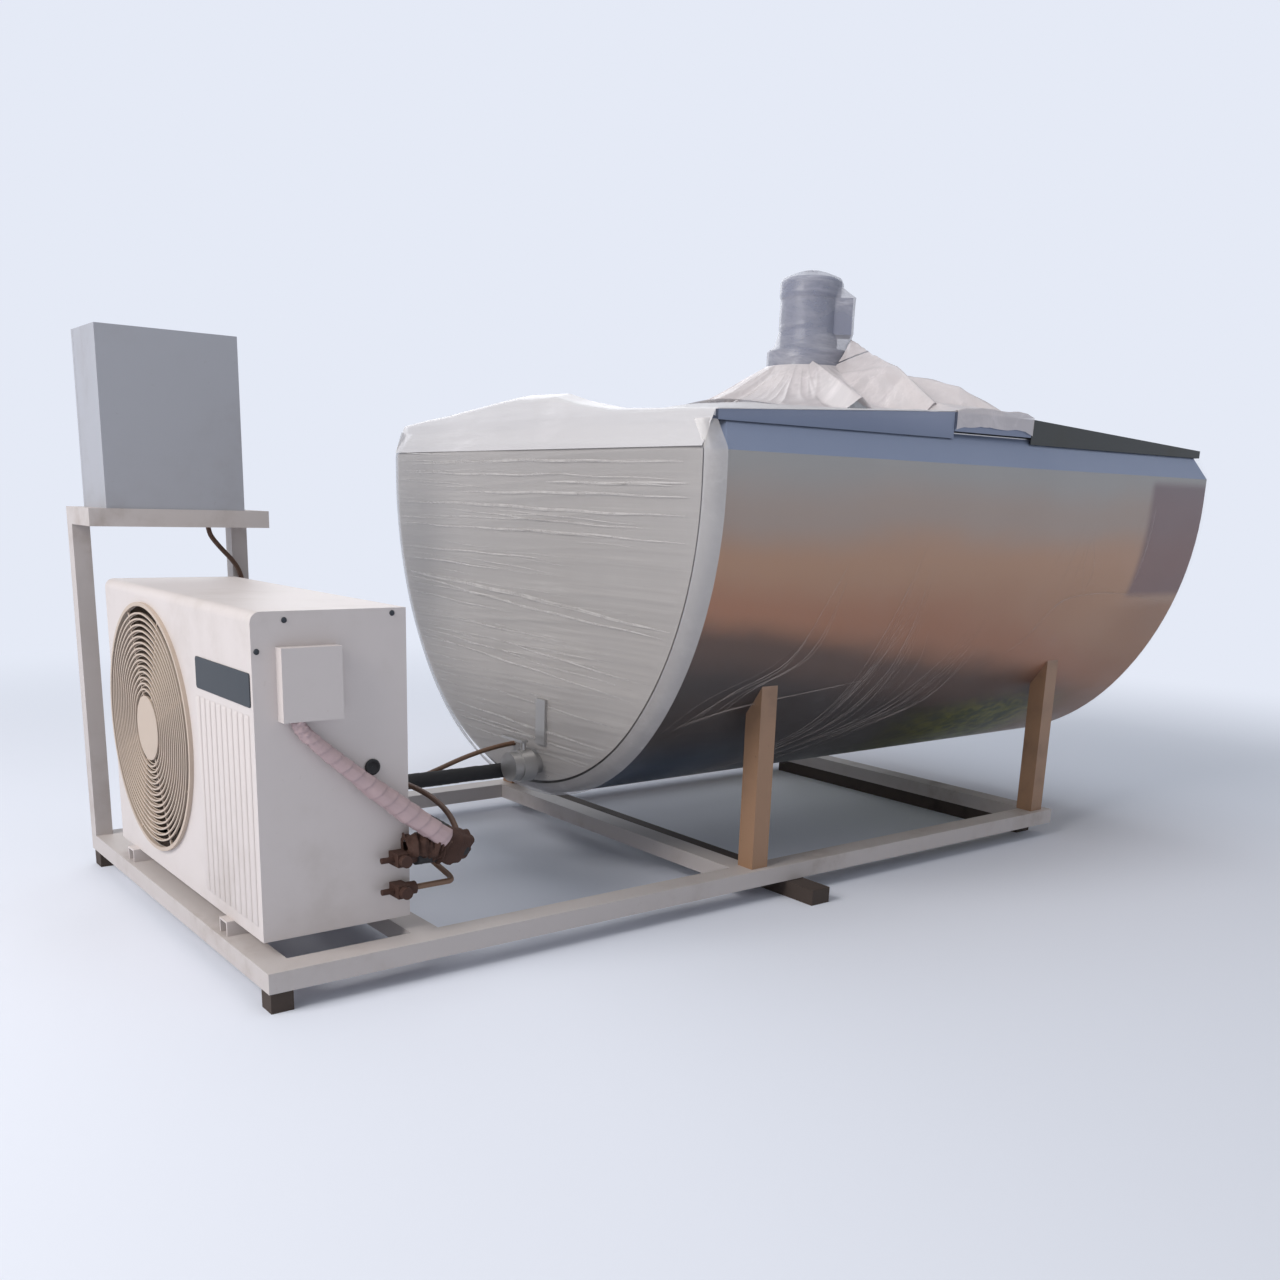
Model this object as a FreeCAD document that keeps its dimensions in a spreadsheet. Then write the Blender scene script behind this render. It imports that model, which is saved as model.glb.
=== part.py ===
"""Milk cooler on a welded base frame, with its condensing unit and control box, in millimetres.

X runs from the condensing unit to the far end of the tank, Y across it and Z up.
The origin is on the ground, in the middle of the machine's length and width.
"""

import FreeCAD, Part
import math
import os

import Sketcher
from FreeCAD import Rotation, Vector

doc = FreeCAD.newDocument("MilkCooler")
sheet = doc.addObject("Spreadsheet::Sheet", "Sizes")
pieces = []

# Driving dimensions, one cell each
SIZES = {
    # base frame of rectangular tube
    "frame_long": 2400, "frame_wide": 1150, "rail_wide": 60, "rail_tall": 40, "rail_wall": 3,
    "foot_tall": 40, "foot_side": 44, "foot_inset": 4, "cap_thick": 2,
    "middle_rail_place": 1205, "unit_rail_place": 350,
    "bearer_wide": 58, "bearer_overhang": 88, "middle_bearer_place": 1340, "rear_bearer_back": 30,
    "rear_bearer_inset": 70, "bearer_tall": 38,
    # tank body
    "tank_start": 915, "tank_long": 1923, "tank_wide": 1380, "tank_low": 200,
    "side_past": 140, "belly_inset": 50, "straight_side": 65, "shoulder_tall": 70,
    "shoulder_inset": 44, "bevel": 34, "skin": 2, "insulation_thick": 46, "flange_wide": 8,
    "gasket_thick": 3, "evaporator_thick": 8, "evaporator_rise": 220, "header_wide": 90,
    "header_tall": 104, "header_back": 14, "header_across": -34,
    "leg_side": 50, "leg_wall": 3, "front_leg_place": 1232, "rear_leg_back": 55, "leg_inset": 16,
    # lids and bridge
    "lid_rise": 43.55, "lid_fall": 40, "lid_deep": 60, "lid_clear": 2.5, "lid_gap": 2, "hinge_place": 775,
    "bridge_long": 300, "seat_clear": 0.3, "hinge_across": 400, "knuckle_radius": 8,
    "knuckle_long": 30, "knuckle_gap": 0.4, "pin_radius": 4, "running_clear": 0.05,
    "handle_long": 150, "handle_thick": 10, "handle_rise": 50, "handle_inset": 45,
    # agitator
    "drive_place": 935, "pedestal_radius": 70, "pedestal_wall": 5, "plate_radius": 108,
    "plate_thick": 8, "pedestal_tall": 141, "gearbox_tall": 51, "motor_radius": 79, "motor_tall": 136,
    "cowl_radius": 82, "cowl_tall": 54, "terminal_deep": 35, "terminal_wide": 90,
    "terminal_tall": 94, "terminal_rise": 41, "shaft_radius": 15, "shaft_rise": 130,
    "shaft_in_gearbox": 30, "bush_radius": 24, "bush_tall": 30, "hub_radius": 30, "hub_tall": 60,
    "blade_reach": 230, "blade_tall": 110, "blade_thick": 4,
    # milk outlet and probe, measured up from the belly
    "outlet_across": -75, "outlet_rise": 82, "outlet_radius": 25, "outlet_wall": 1.5,
    "valve_radius": 40, "valve_long": 36, "stub_long": 30, "cap_radius": 36, "cap_long": 24,
    "stem_radius": 7, "stem_tall": 24, "lever_long": 95, "lever_wide": 18, "lever_thick": 6,
    "probe_across": -95, "probe_rise": 200, "probe_radius": 5, "probe_long": 120,
    "strip_rise": 135, "strip_tall": 113, "strip_wide": 40, "strip_deep": 12,
    # stand and control box
    "post_side": 40, "post_wall": 3, "post_gap": 380, "shelf_top": 878, "shelf_tall": 40,
    "shelf_deep": 191, "shelf_sheet": 3,
    "box_start": 41, "box_wide": 321, "box_deep": 186, "box_proud": 1, "box_tall": 396, "box_wall": 2,
    "door_thick": 14, "door_clear": 1, "door_pin_radius": 3, "door_knuckle_radius": 6,
    "door_knuckle_long": 40, "door_knuckle_gap": 0.4, "door_hinge_inset": 70,
    "panel_thick": 3, "panel_margin": 25, "panel_standoff": 12, "stud_radius": 5,
    "contactor_wide": 45, "contactor_tall": 80, "contactor_deep": 70, "contactor_drop": 160,
    "strip_block_long": 180, "strip_block_tall": 40, "strip_block_deep": 42, "strip_block_rise": 80,
    "switch_radius": 22, "switch_deep": 16, "switch_shank": 8, "switch_rise": 90, "knob_trim": 2,
    "display_wide": 74, "display_tall": 32, "display_deep": 50, "display_lip": 4, "display_drop": 60,
    "lamp_radius": 11, "lamp_deep": 9, "lamp_drop": 136, "lamp_spread": 60,
    "button_radius": 10, "button_bezel": 14, "button_travel": 4, "button_drop": 206,
    "button_spread": 45, "button_proud": 6, "bezel_deep": 3,
    "lock_radius": 9, "lock_long": 26, "lock_proud": 4, "lock_inset": 22,
    "gland_radius": 10, "gland_long": 24, "gland_flange": 5, "gland_inset": 60, "gland_forward": 95,
    # condensing unit
    "unit_start": 25, "unit_side": -494, "unit_low": 110, "unit_deep": 304, "unit_wide": 882,
    "unit_tall": 612, "unit_sheet": 2, "pan_tall": 22, "top_tall": 24, "top_round": 20,
    "unit_foot_long": 344, "unit_foot_wide": 40, "unit_foot_out": 15, "unit_foot_wall": 4,
    "near_foot_place": 171, "far_foot_gap": 112,
    "fan_edge": 44, "fan_side_gap": 15, "fan_lift": 4, "grille_thick": 4, "grille_rim": 8,
    "grille_disc": 70, "ring_margin": 17, "ring_wide": 3.5, "spoke_wide": 5,
    "fan_clear": 30, "fan_hub_radius": 52, "fan_hub_long": 50, "fan_place": 56, "fan_blade": 4,
    "fan_shaft_radius": 5, "motor_can_radius": 55, "motor_can_long": 84, "motor_can_place": 118,
    "bracket_wide": 60, "bracket_thick": 3, "coil_thick": 30, "partition_gap": 43,
    "compressor_radius": 66, "compressor_tall": 280, "compressor_in": 150, "compressor_foot": 20,
    "compressor_plate": 4, "mount_tall": 14, "mount_radius": 12, "mount_along": 60, "mount_near": 35,
    "mount_far": 70, "accumulator_radius": 28, "accumulator_tall": 190, "accumulator_lift": 40,
    "cover_start": 45, "cover_wide": 116, "cover_drop": 197, "cover_tall": 134, "cover_deep": 26,
    "cover_wall": 3, "valve_in": 272, "gas_valve_high": 128, "liquid_valve_high": 64,
    "service_side": 26, "service_out": 40, "nut_radius": 13, "nut_long": 20, "cap_nut_radius": 12,
    # refrigerant lines between the valves and the tank's header
    "suction_radius": 18, "suction_across": -5, "suction_rise": 58, "suction_turn": 452,
    "suction_climb": 200, "suction_bend_a": 70, "suction_bend_b": 100, "suction_bend_c": 90,
    "liquid_radius": 6, "liquid_across": 30, "liquid_rise": 118, "liquid_turn": 420,
    "liquid_climb": 240, "liquid_side": 14, "liquid_drop_a": 100, "liquid_drop_b": 90,
    "liquid_drop_c": 80, "liquid_run": 180, "liquid_end": 80, "liquid_bend_a": 50,
    "liquid_bend_b": 120, "liquid_bend_c": 60, "liquid_bend_d": 200, "liquid_bend_e": 150,
    # taped bundle and the control cable out of it
    "taped_radius": 13, "bundle_drop": 20, "bundle_turn": 291, "bundle_turn_high": 345,
    "bundle_turn_out": 16, "bundle_end": 386, "bundle_end_high": 272, "bundle_end_out": 36,
    "bundle_in": 31,
    "bundle_bend_a": 30, "bundle_bend_b": 300,
    "cable_radius": 6, "cable_lead": 50, "cable_turn": 462, "cable_low": 316, "cable_first": 160,
    "cable_second": 500, "cable_lift": 312, "cable_near_post": 20, "cable_before_post": 160,
    "cable_dip": 290, "cable_foot": 330, "cable_head": 730, "cable_top": 800, "cable_under": 830,
    "cable_beside": 20, "cable_ahead": 10, "cable_in_gland": 14, "cable_bend_a": 36,
    "cable_bend_b": 150, "cable_bend_c": 60, "cable_bend_d": 20, "cable_bend_e": 14,
    # stretch film between the drive and the lids
    "tent_tall": 148, "tent_inset": 67.7, "tent_neck": 114, "tent_thick": 3, "tent_reach": 330,
    "tent_corner": 180, "tent_neck_corner": 50, "tent_split": 4, "tent_hole_inset": 2,
}
RING_COUNT = 14
SPOKE_COUNT = 8
FAN_BLADES = 3
PADDLE_BLADES = 2
PADDLE_PITCH = 30
TERMINAL_TURN = -45
FAN_PITCH = 26
FAN_BLADE_SHARE = 0.66


class Size:
    """A length known both as a number and as the formula that binds it to the sheet."""

    def __init__(self, text, value):
        self.text = text
        self.value = value

    def __add__(self, other):
        return Size(f"({self.text} + {text_of(other)})", self.value + value_of(other))

    def __radd__(self, other):
        return self + other

    def __sub__(self, other):
        return Size(f"({self.text} - {text_of(other)})", self.value - value_of(other))

    def __rsub__(self, other):
        return Size(f"({text_of(other)} - {self.text})", value_of(other) - self.value)

    def __mul__(self, other):
        return Size(f"({self.text} * {text_of(other)})", self.value * value_of(other))

    def __rmul__(self, other):
        return self * other

    def __truediv__(self, other):
        return Size(f"({self.text} / {text_of(other)})", self.value / value_of(other))

    def __neg__(self):
        return Size(f"(0 - {self.text})", -self.value)


def text_of(size):
    return size.text if isinstance(size, Size) else repr(float(size))


def value_of(size):
    return size.value if isinstance(size, Size) else float(size)


def root(size):
    return Size(f"sqrt({size.text})", math.sqrt(size.value))


class Named:
    """Gives each cell of the sheet as a Size."""

    def __getattr__(self, name):
        return Size(f"Sizes.{name}", float(SIZES[name]))


def fill_sheet():
    for row, (name, number) in enumerate(SIZES.items(), 1):
        sheet.set(f"A{row}", name)
        sheet.set(f"B{row}", str(number))
        sheet.setAlias(f"B{row}", name)
    doc.recompute()


fill_sheet()
s = Named()

X_AXIS = Rotation(Vector(0, 1, 0), 90)
Y_AXIS = Rotation(Vector(1, 0, 0), -90)
Z_AXIS = Rotation()
TURNS = {"x": X_AXIS, "y": Y_AXIS, "z": Z_AXIS}
SECTION_TURN = Rotation(Vector(1, 1, 1), 120)


def fresh(name):
    """A name for a step of a piece that no other step has."""
    return f"{name}_step{len(doc.Objects)}"


def bind(thing, where, size):
    thing.setExpression(where, text_of(size))


def put(thing, at):
    for axis, size in zip("xyz", at):
        bind(thing, f"Placement.Base.{axis}", size)
    return thing


def box(size, at, name="block"):
    """A block with its lowest corner at a point."""
    block = doc.addObject("Part::Box", fresh(name))
    for side, length in zip(("Length", "Width", "Height"), size):
        bind(block, side, length)
    return put(block, at)


def rod(radius, length, at, along="z", name="rod"):
    """A cylinder from a point along an axis."""
    cylinder = doc.addObject("Part::Cylinder", fresh(name))
    cylinder.Placement.Rotation = TURNS[along]
    bind(cylinder, "Radius", radius)
    bind(cylinder, "Height", length)
    return put(cylinder, at)


def cone(low_radius, top_radius, tall, at, along="z"):
    taper = doc.addObject("Part::Cone", fresh("cone"))
    taper.Placement.Rotation = TURNS[along]
    bind(taper, "Radius1", low_radius)
    bind(taper, "Radius2", top_radius)
    bind(taper, "Height", tall)
    return put(taper, at)


def fuse(*things):
    if len(things) == 1:
        return things[0]
    whole = doc.addObject("Part::MultiFuse", fresh("fuse"))
    whole.Shapes = list(things)
    return whole


def cut(base, *tools):
    whole = doc.addObject("Part::Cut", fresh("cut"))
    whole.Base = base
    whole.Tool = fuse(*tools)
    return whole


def common(first, second):
    whole = doc.addObject("Part::Common", fresh("common"))
    whole.Base = first
    whole.Tool = second
    return whole


def group(*things):
    """Identical pieces that stay separate solids in one node."""
    whole = doc.addObject("Part::Compound", fresh("group"))
    whole.Links = list(things)
    return whole


def turned(thing, axis, degrees, about):
    """A copy turned about an axis through a point, which the sheet places."""
    holder = doc.addObject("Part::Compound", fresh("turned"))
    holder.Links = [thing]
    holder.Placement.Rotation = Rotation(axis, degrees)
    return put(holder, about)


def piece(label, thing):
    """Names a finished sub-part, which goes into a file of its own."""
    thing.Label = label
    pieces.append(thing)
    return thing


def add_edges(sketch, corners):
    """Draws a closed outline of lines and arcs, each corner bound to the sheet.

    A corner is (u, v), or (u, v, centre_u, centre_v, radius) where an arc runs on from it.
    """
    count = len(corners)
    for i, corner in enumerate(corners):
        after = corners[(i + 1) % count]
        start = Vector(value_of(corner[0]), value_of(corner[1]), 0)
        end = Vector(value_of(after[0]), value_of(after[1]), 0)
        if len(corner) == 2:
            sketch.addGeometry(Part.LineSegment(start, end), False)
            continue
        centre = Vector(value_of(corner[2]), value_of(corner[3]), 0)
        first = math.atan2(start.y - centre.y, start.x - centre.x)
        last = math.atan2(end.y - centre.y, end.x - centre.x)
        if last < first:
            last += 2 * math.pi
        circle = Part.Circle(centre, Vector(0, 0, 1), value_of(corner[4]))
        sketch.addGeometry(Part.ArcOfCircle(circle, first, last), False)
    for i in range(count):
        sketch.addConstraint(Sketcher.Constraint("Coincident", i, 2, (i + 1) % count, 1))
    for i, corner in enumerate(corners):
        for kind, size in zip(("DistanceX", "DistanceY"), corner[:2]):
            number = sketch.addConstraint(Sketcher.Constraint(kind, -1, 1, i, 1, value_of(size)))
            bind(sketch, f"Constraints[{number}]", size)
        if len(corner) > 2:
            number = sketch.addConstraint(Sketcher.Constraint("Radius", i, value_of(corner[4])))
            bind(sketch, f"Constraints[{number}]", corner[4])


def origin_plane(body, role):
    return [part for part in body.Origin.OriginFeatures if part.Role == role][0]


def body_sketch(body, role):
    sketch = body.newObject("Sketcher::SketchObject", fresh("outline"))
    sketch.AttachmentSupport = [(origin_plane(body, role), "")]
    sketch.MapMode = "FlatFace"
    return sketch


def pad(body, sketch, length):
    feature = body.newObject("PartDesign::Pad", fresh("pad"))
    feature.Profile = sketch
    bind(feature, "Length", length)
    return feature


def padded(role, corners, length, at, name="body"):
    """A body with one padded outline. YZ_Plane pads along X, XY_Plane along Z, XZ_Plane along -Y."""
    body = doc.addObject("PartDesign::Body", fresh(name))
    sketch = body_sketch(body, role)
    add_edges(sketch, corners)
    pad(body, sketch, length)
    return put(body, at)


def loft(low, high):
    """A ruled solid between two free sketches."""
    solid = doc.addObject("Part::Loft", fresh("loft"))
    solid.Sections = [low, high]
    solid.Solid = True
    solid.Ruled = True
    return solid


def free_sketch(corners, at, turn):
    sketch = doc.addObject("Sketcher::SketchObject", fresh("section"))
    sketch.Placement.Rotation = turn
    add_edges(sketch, corners)
    return put(sketch, at)


# Places worked out from the sizes
overall_long = s.tank_start + s.tank_long
near_end = -(overall_long / 2)
far_end = near_end + s.frame_long
rail_top = s.foot_tall + s.rail_tall
half_frame = s.frame_wide / 2
half_tank = s.tank_wide / 2
tank_front = near_end + s.tank_start
tank_back = tank_front + s.tank_long
side_radius = half_tank + s.side_past
belly_radius = half_tank - s.belly_inset
past_middle = s.side_past
centre_gap = side_radius - belly_radius
centre_drop = root(centre_gap * centre_gap - past_middle * past_middle)
belly_centre = s.tank_low + belly_radius
spring = belly_centre + centre_drop
shoulder_low = spring + s.straight_side
rim_top = shoulder_low + s.shoulder_tall
flange_top = rim_top + s.skin
seat_top = flange_top + s.gasket_thick
lid_top = seat_top + s.lid_rise
outlet_high = s.tank_low + s.outlet_rise
probe_high = s.tank_low + s.probe_rise
strip_low = s.tank_low + s.strip_rise
suction_high = s.tank_low + s.suction_rise
liquid_high = s.tank_low + s.liquid_rise
wall_total = s.skin + s.insulation_thick + s.skin
vessel_out = wall_total - s.skin


def trough_outline(inset, top):
    """The tank's U section: two long side arcs, one belly arc and straight upper sides."""
    half = half_tank - inset
    side = side_radius - inset
    belly = belly_radius - inset
    out = past_middle / centre_gap * belly
    down = belly_centre - centre_drop / centre_gap * belly
    return [
        (half, top),
        (-half, top),
        (-half, spring, past_middle, spring, side),
        (-out, down, 0, belly_centre, belly),
        (out, down, -past_middle, spring, side),
        (half, spring),
    ]


def trough(inset, top, start, length):
    return padded("YZ_Plane", trough_outline(inset, top), length, (start, 0, 0), "trough")


def end_cap(face_inset, edge_inset, face_at, edge_at):
    """The bevelled end of the tank between its flat face and its full section."""
    face = free_sketch(trough_outline(face_inset, shoulder_low), (face_at, 0, 0), SECTION_TURN)
    edge = free_sketch(trough_outline(edge_inset, shoulder_low), (edge_at, 0, 0), SECTION_TURN)
    return loft(face, edge)


def plan_outline(inset, corner):
    """A rectangle round the tank in plan, with cut corners."""
    half_long = s.tank_long / 2 - inset
    half = half_tank - inset
    return [
        (half_long, -(half - corner)),
        (half_long, half - corner),
        (half_long - corner, half),
        (-(half_long - corner), half),
        (-half_long, half - corner),
        (-half_long, -(half - corner)),
        (-(half_long - corner), -half),
        (half_long - corner, -half),
    ]


tank_middle = (tank_front + tank_back) / 2


def shoulder_form(extra):
    """The sloping frustum between the straight sides and the rim."""
    low = free_sketch(plan_outline(extra, s.bevel), (tank_middle, 0, shoulder_low), Z_AXIS)
    top_outline = plan_outline(s.shoulder_inset + extra, s.bevel / 2)
    top = free_sketch(top_outline, (tank_middle, 0, rim_top), Z_AXIS)
    return loft(low, top)


def tube_bar(length, wide, tall, wall, at, along):
    """An open rectangular tube lying along X or Y, or standing along Z."""
    sizes = {"x": (length, wide, tall), "y": (wide, length, tall), "z": (wide, tall, length)}[along]
    grow = {"x": (1, 0, 0), "y": (0, 1, 0), "z": (0, 0, 1)}[along]
    outer = box(sizes, at)
    inner_size = [size if g else size - wall * 2 for size, g in zip(sizes, grow)]
    inner_at = [place if g else place + wall for place, g in zip(at, grow)]
    return cut(outer, box(inner_size, inner_at))


def ring_frame(outer_x, outer_y, inner_x, inner_y, low, tall):
    """A flat rectangular ring centred on the tank."""
    outer = box((outer_x * 2, outer_y * 2, tall), (tank_middle - outer_x, -outer_y, low))
    inner = box((inner_x * 2, inner_y * 2, tall), (tank_middle - inner_x, -inner_y, low))
    return cut(outer, inner)


def base_frame():
    """Two long rails with end caps, four cross rails between them, and what they stand on."""
    long_rails = []
    for low_y in (-half_frame, half_frame - s.rail_wide):
        long_rails.append(tube_bar(s.frame_long, s.rail_wide, s.rail_tall, s.rail_wall,
                                   (near_end, low_y, s.foot_tall), "x"))
    crossings = (
        near_end,
        near_end + s.unit_rail_place - s.rail_wide / 2,
        near_end + s.middle_rail_place - s.rail_wide / 2,
        far_end - s.rail_wide,
    )
    between = s.frame_wide - s.rail_wide * 2
    cross_rails = [tube_bar(between, s.rail_wide, s.rail_tall, s.rail_wall,
                            (start, -half_frame + s.rail_wide, s.foot_tall), "y")
                   for start in crossings]
    piece("cross_rails", group(*cross_rails))
    caps = []
    bore = s.rail_wide - s.rail_wall * 2
    bore_tall = s.rail_tall - s.rail_wall * 2
    for low_y in (-half_frame, half_frame - s.rail_wide):
        for start in (near_end, far_end - s.cap_thick):
            caps.append(box((s.cap_thick, bore, bore_tall),
                            (start, low_y + s.rail_wall, s.foot_tall + s.rail_wall)))
    piece("long_rails", group(*long_rails, *caps))
    feet = [box((s.foot_side, s.foot_side, s.foot_tall), (near_end + s.foot_inset, low_y, 0))
            for low_y in (-half_frame + s.foot_inset, half_frame - s.foot_inset - s.foot_side)]
    reach = half_frame + s.bearer_overhang
    middle_start = near_end + s.middle_bearer_place - s.bearer_wide / 2
    drop = s.foot_tall - s.bearer_tall
    slab = box((s.bearer_wide, reach * 2, s.foot_tall), (middle_start, -reach, 0))
    tip_long = s.bearer_overhang
    for_near = box((s.bearer_wide, tip_long, drop), (middle_start, -reach, s.bearer_tall))
    for_far = box((s.bearer_wide, tip_long, drop), (middle_start, half_frame, s.bearer_tall))
    middle_bearer = cut(slab, for_near, for_far)
    rear_half = half_frame - s.rear_bearer_inset
    rear_bearer = box((s.bearer_wide, rear_half * 2, s.foot_tall),
                      (far_end - s.rear_bearer_back - s.bearer_wide / 2, -rear_half, 0))
    piece("ground_supports", group(*feet, middle_bearer, rear_bearer))


def legs():
    """Four tubes on the rails, coped to the belly."""
    belly = trough(0, shoulder_low, tank_front, s.tank_long)
    across = (-half_frame + s.leg_inset, half_frame - s.leg_inset - s.leg_side)
    along = (near_end + s.front_leg_place, far_end - s.rear_leg_back)
    bars = []
    for low_y in across:
        for middle in along:
            start = middle - s.leg_side / 2
            bar = tube_bar(belly_centre - rail_top, s.leg_side, s.leg_side, s.leg_wall,
                           (start, low_y, rail_top), "z")
            bars.append(cut(bar, belly))
    piece("tank_legs", group(*bars))


def tank():
    skin = s.skin
    body_start = tank_front + s.bevel
    body_long = s.tank_long - s.bevel * 2
    outlet = rod(s.outlet_radius, s.tank_long / 8, (tank_front - s.stub_long, s.outlet_across,
                                                   outlet_high), "x")
    suction_hole = rod(s.suction_radius, s.bevel + s.insulation_thick,
                       (tank_front - skin, s.suction_across, suction_high), "x")
    liquid_hole = rod(s.liquid_radius, s.bevel + s.insulation_thick,
                      (tank_front - skin, s.liquid_across, liquid_high), "x")
    probe_hole = rod(s.probe_radius, s.probe_long, (tank_front - skin, s.probe_across, probe_high),
                     "x")
    jacket = cut(trough(0, shoulder_low, body_start, body_long),
                 trough(skin, shoulder_low + skin, body_start - skin, body_long + skin * 2))
    piece("outer_jacket", jacket)
    front = cut(end_cap(s.bevel, 0, tank_front, body_start),
                end_cap(s.bevel, skin, tank_front + skin, body_start),
                outlet, suction_hole, liquid_hole, probe_hole)
    rear = cut(end_cap(0, s.bevel, tank_back - s.bevel, tank_back),
               end_cap(skin, s.bevel, tank_back - s.bevel, tank_back - skin))
    piece("end_panels", group(front, rear))
    vessel_start = tank_front + vessel_out
    vessel_long = s.tank_long - vessel_out * 2
    vessel_form = trough(vessel_out, rim_top, vessel_start, vessel_long)
    ring = cut(shoulder_form(0), shoulder_form(skin * 2), vessel_form)
    piece("shoulder_ring", ring)
    vessel_inner = trough(wall_total, rim_top + skin, vessel_start + skin, vessel_long - skin * 2)
    mouth_x = s.tank_long / 2 - wall_total
    mouth_y = half_tank - wall_total
    flange = ring_frame(mouth_x + s.flange_wide, mouth_y + s.flange_wide, mouth_x, mouth_y, rim_top, skin)
    pipe_reach = s.stub_long + wall_total
    pipe_at = (tank_front - s.stub_long, s.outlet_across, outlet_high)
    outlet_bore = rod(s.outlet_radius - s.outlet_wall, pipe_reach, pipe_at, "x")
    outlet_pipe = cut(rod(s.outlet_radius, pipe_reach, pipe_at, "x"), outlet_bore)
    vessel = fuse(cut(vessel_form, vessel_inner, outlet, probe_hole), flange, outlet_pipe)
    piece("inner_vessel", vessel)
    plate_start = vessel_start - s.header_back
    plate_long = s.tank_long - vessel_out * 2
    jacket_form = cut(trough(vessel_out - s.evaporator_thick, shoulder_low, plate_start, plate_long),
                      trough(vessel_out, shoulder_low + skin, plate_start - skin, s.tank_long))
    belly_slab = box((s.tank_long, s.tank_wide, s.tank_low + s.evaporator_rise),
                     (tank_front, -half_tank, 0))
    plate = common(jacket_form, belly_slab)
    header = box((s.header_back, s.header_wide, s.header_tall),
                 (plate_start, s.header_across, s.tank_low + vessel_out - s.evaporator_thick))
    evaporator = fuse(plate, header)
    piece("evaporator_plate", evaporator)
    filling = fuse(end_cap(s.bevel, skin, tank_front + skin, body_start),
                   trough(skin, shoulder_low, body_start, body_long),
                   end_cap(skin, s.bevel, tank_back - s.bevel, tank_back - skin),
                   shoulder_form(skin * 2))
    vessel_tool = trough(vessel_out, rim_top + skin, vessel_start, vessel_long)
    foam = cut(filling, vessel_tool, evaporator, outlet, suction_hole, liquid_hole, probe_hole)
    piece("insulation", foam)
    piece("rim_gasket", ring_frame(mouth_x + s.flange_wide, mouth_y + s.flange_wide,
                                   mouth_x, mouth_y, flange_top, s.gasket_thick))


# Lids and bridge
lid_low = lid_top - s.lid_deep
shoulder_at_lid = s.shoulder_inset * ((lid_low - shoulder_low) / s.shoulder_tall)
lid_half = half_tank - shoulder_at_lid + s.lid_clear + s.skin
bridge_start = tank_front + s.hinge_place
bridge_end = bridge_start + s.bridge_long
lid_front = tank_front + shoulder_at_lid - s.lid_clear - s.skin
lid_back = tank_back - shoulder_at_lid + s.lid_clear + s.skin
hinge_high = lid_top + s.knuckle_radius + s.knuckle_gap
hinge_sides = (-s.hinge_across, s.hinge_across)
drive_x = tank_front + s.drive_place
gearbox_low = lid_top + s.pedestal_tall
shaft_low = s.tank_low + s.shaft_rise


def lid_side(start, end, low, inset, hinge_at_end):
    """Side view of a lid, its top falling away from the hinge."""
    outer_top = lid_top - s.lid_fall - inset
    hinge_top = lid_top - inset
    tops = (outer_top, hinge_top) if hinge_at_end else (hinge_top, outer_top)
    return [(start, low), (end, low), (end, tops[1]), (start, tops[0])]


def lid_form(start, end, low, inset, hinge_at_end):
    outline = lid_side(start + inset, end - inset, low, inset, hinge_at_end)
    half = lid_half - inset
    return padded("XZ_Plane", outline, half * 2, (0, half, 0), "lid")


def lid_pan(start, end, hinge_at_end):
    """A folded lid: a sloping top with skirts, cut short over the vessel at its hinged edge."""
    shell = cut(lid_form(start, end, lid_low, 0, hinge_at_end),
                lid_form(start, end, lid_low - s.skin, s.skin, hinge_at_end))
    notch_start = end - s.skin * 2 if hinge_at_end else start - s.skin
    notch = box((s.skin * 3, lid_half * 2 - s.skin * 2, seat_top + s.lid_clear - lid_low),
                (notch_start, -lid_half + s.skin, lid_low))
    return cut(shell, notch)


def lid_liner(start, end, hinge_at_end):
    """The foam-filled inner pan that closes on the rim gasket."""
    return lid_form(start, end, seat_top + s.seat_clear, s.skin, hinge_at_end)


def grip(middle_x, hinge_x, outer_x):
    """A low bar handle, welded to the sloping lid at both ends."""
    thick = s.handle_thick
    fall = s.lid_fall * (middle_x - hinge_x) / (outer_x - hinge_x)
    low = lid_top - fall + s.seat_clear
    posts = [box((thick, thick, s.handle_rise - thick), (middle_x - thick / 2, y, low))
             for y in (-s.handle_long / 2, s.handle_long / 2 - thick)]
    bar = box((thick, s.handle_long, thick),
              (middle_x - thick / 2, -s.handle_long / 2, low + s.handle_rise - thick))
    return fuse(bar, *posts)


def knuckle(axis_x, middle_y, long, toward):
    """A hinge lug: a barrel on the axis with a foot on the sheet, bored for the pin."""
    low_y = middle_y - long / 2
    barrel = rod(s.knuckle_radius, long, (axis_x, low_y, hinge_high), "y")
    foot_long = s.knuckle_radius * 3
    foot_x = axis_x if toward > 0 else axis_x - foot_long
    foot = box((foot_long, long, hinge_high - lid_top + s.skin), (foot_x, low_y, lid_top - s.skin))
    trim = box((s.knuckle_radius + s.skin, long, s.knuckle_radius),
               (axis_x - s.knuckle_radius - s.skin if toward > 0 else axis_x, low_y,
                lid_top - s.knuckle_radius))
    bore = rod(s.pin_radius + s.running_clear, long, (axis_x, low_y, hinge_high), "y")
    return cut(fuse(barrel, foot), trim, bore)


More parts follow.
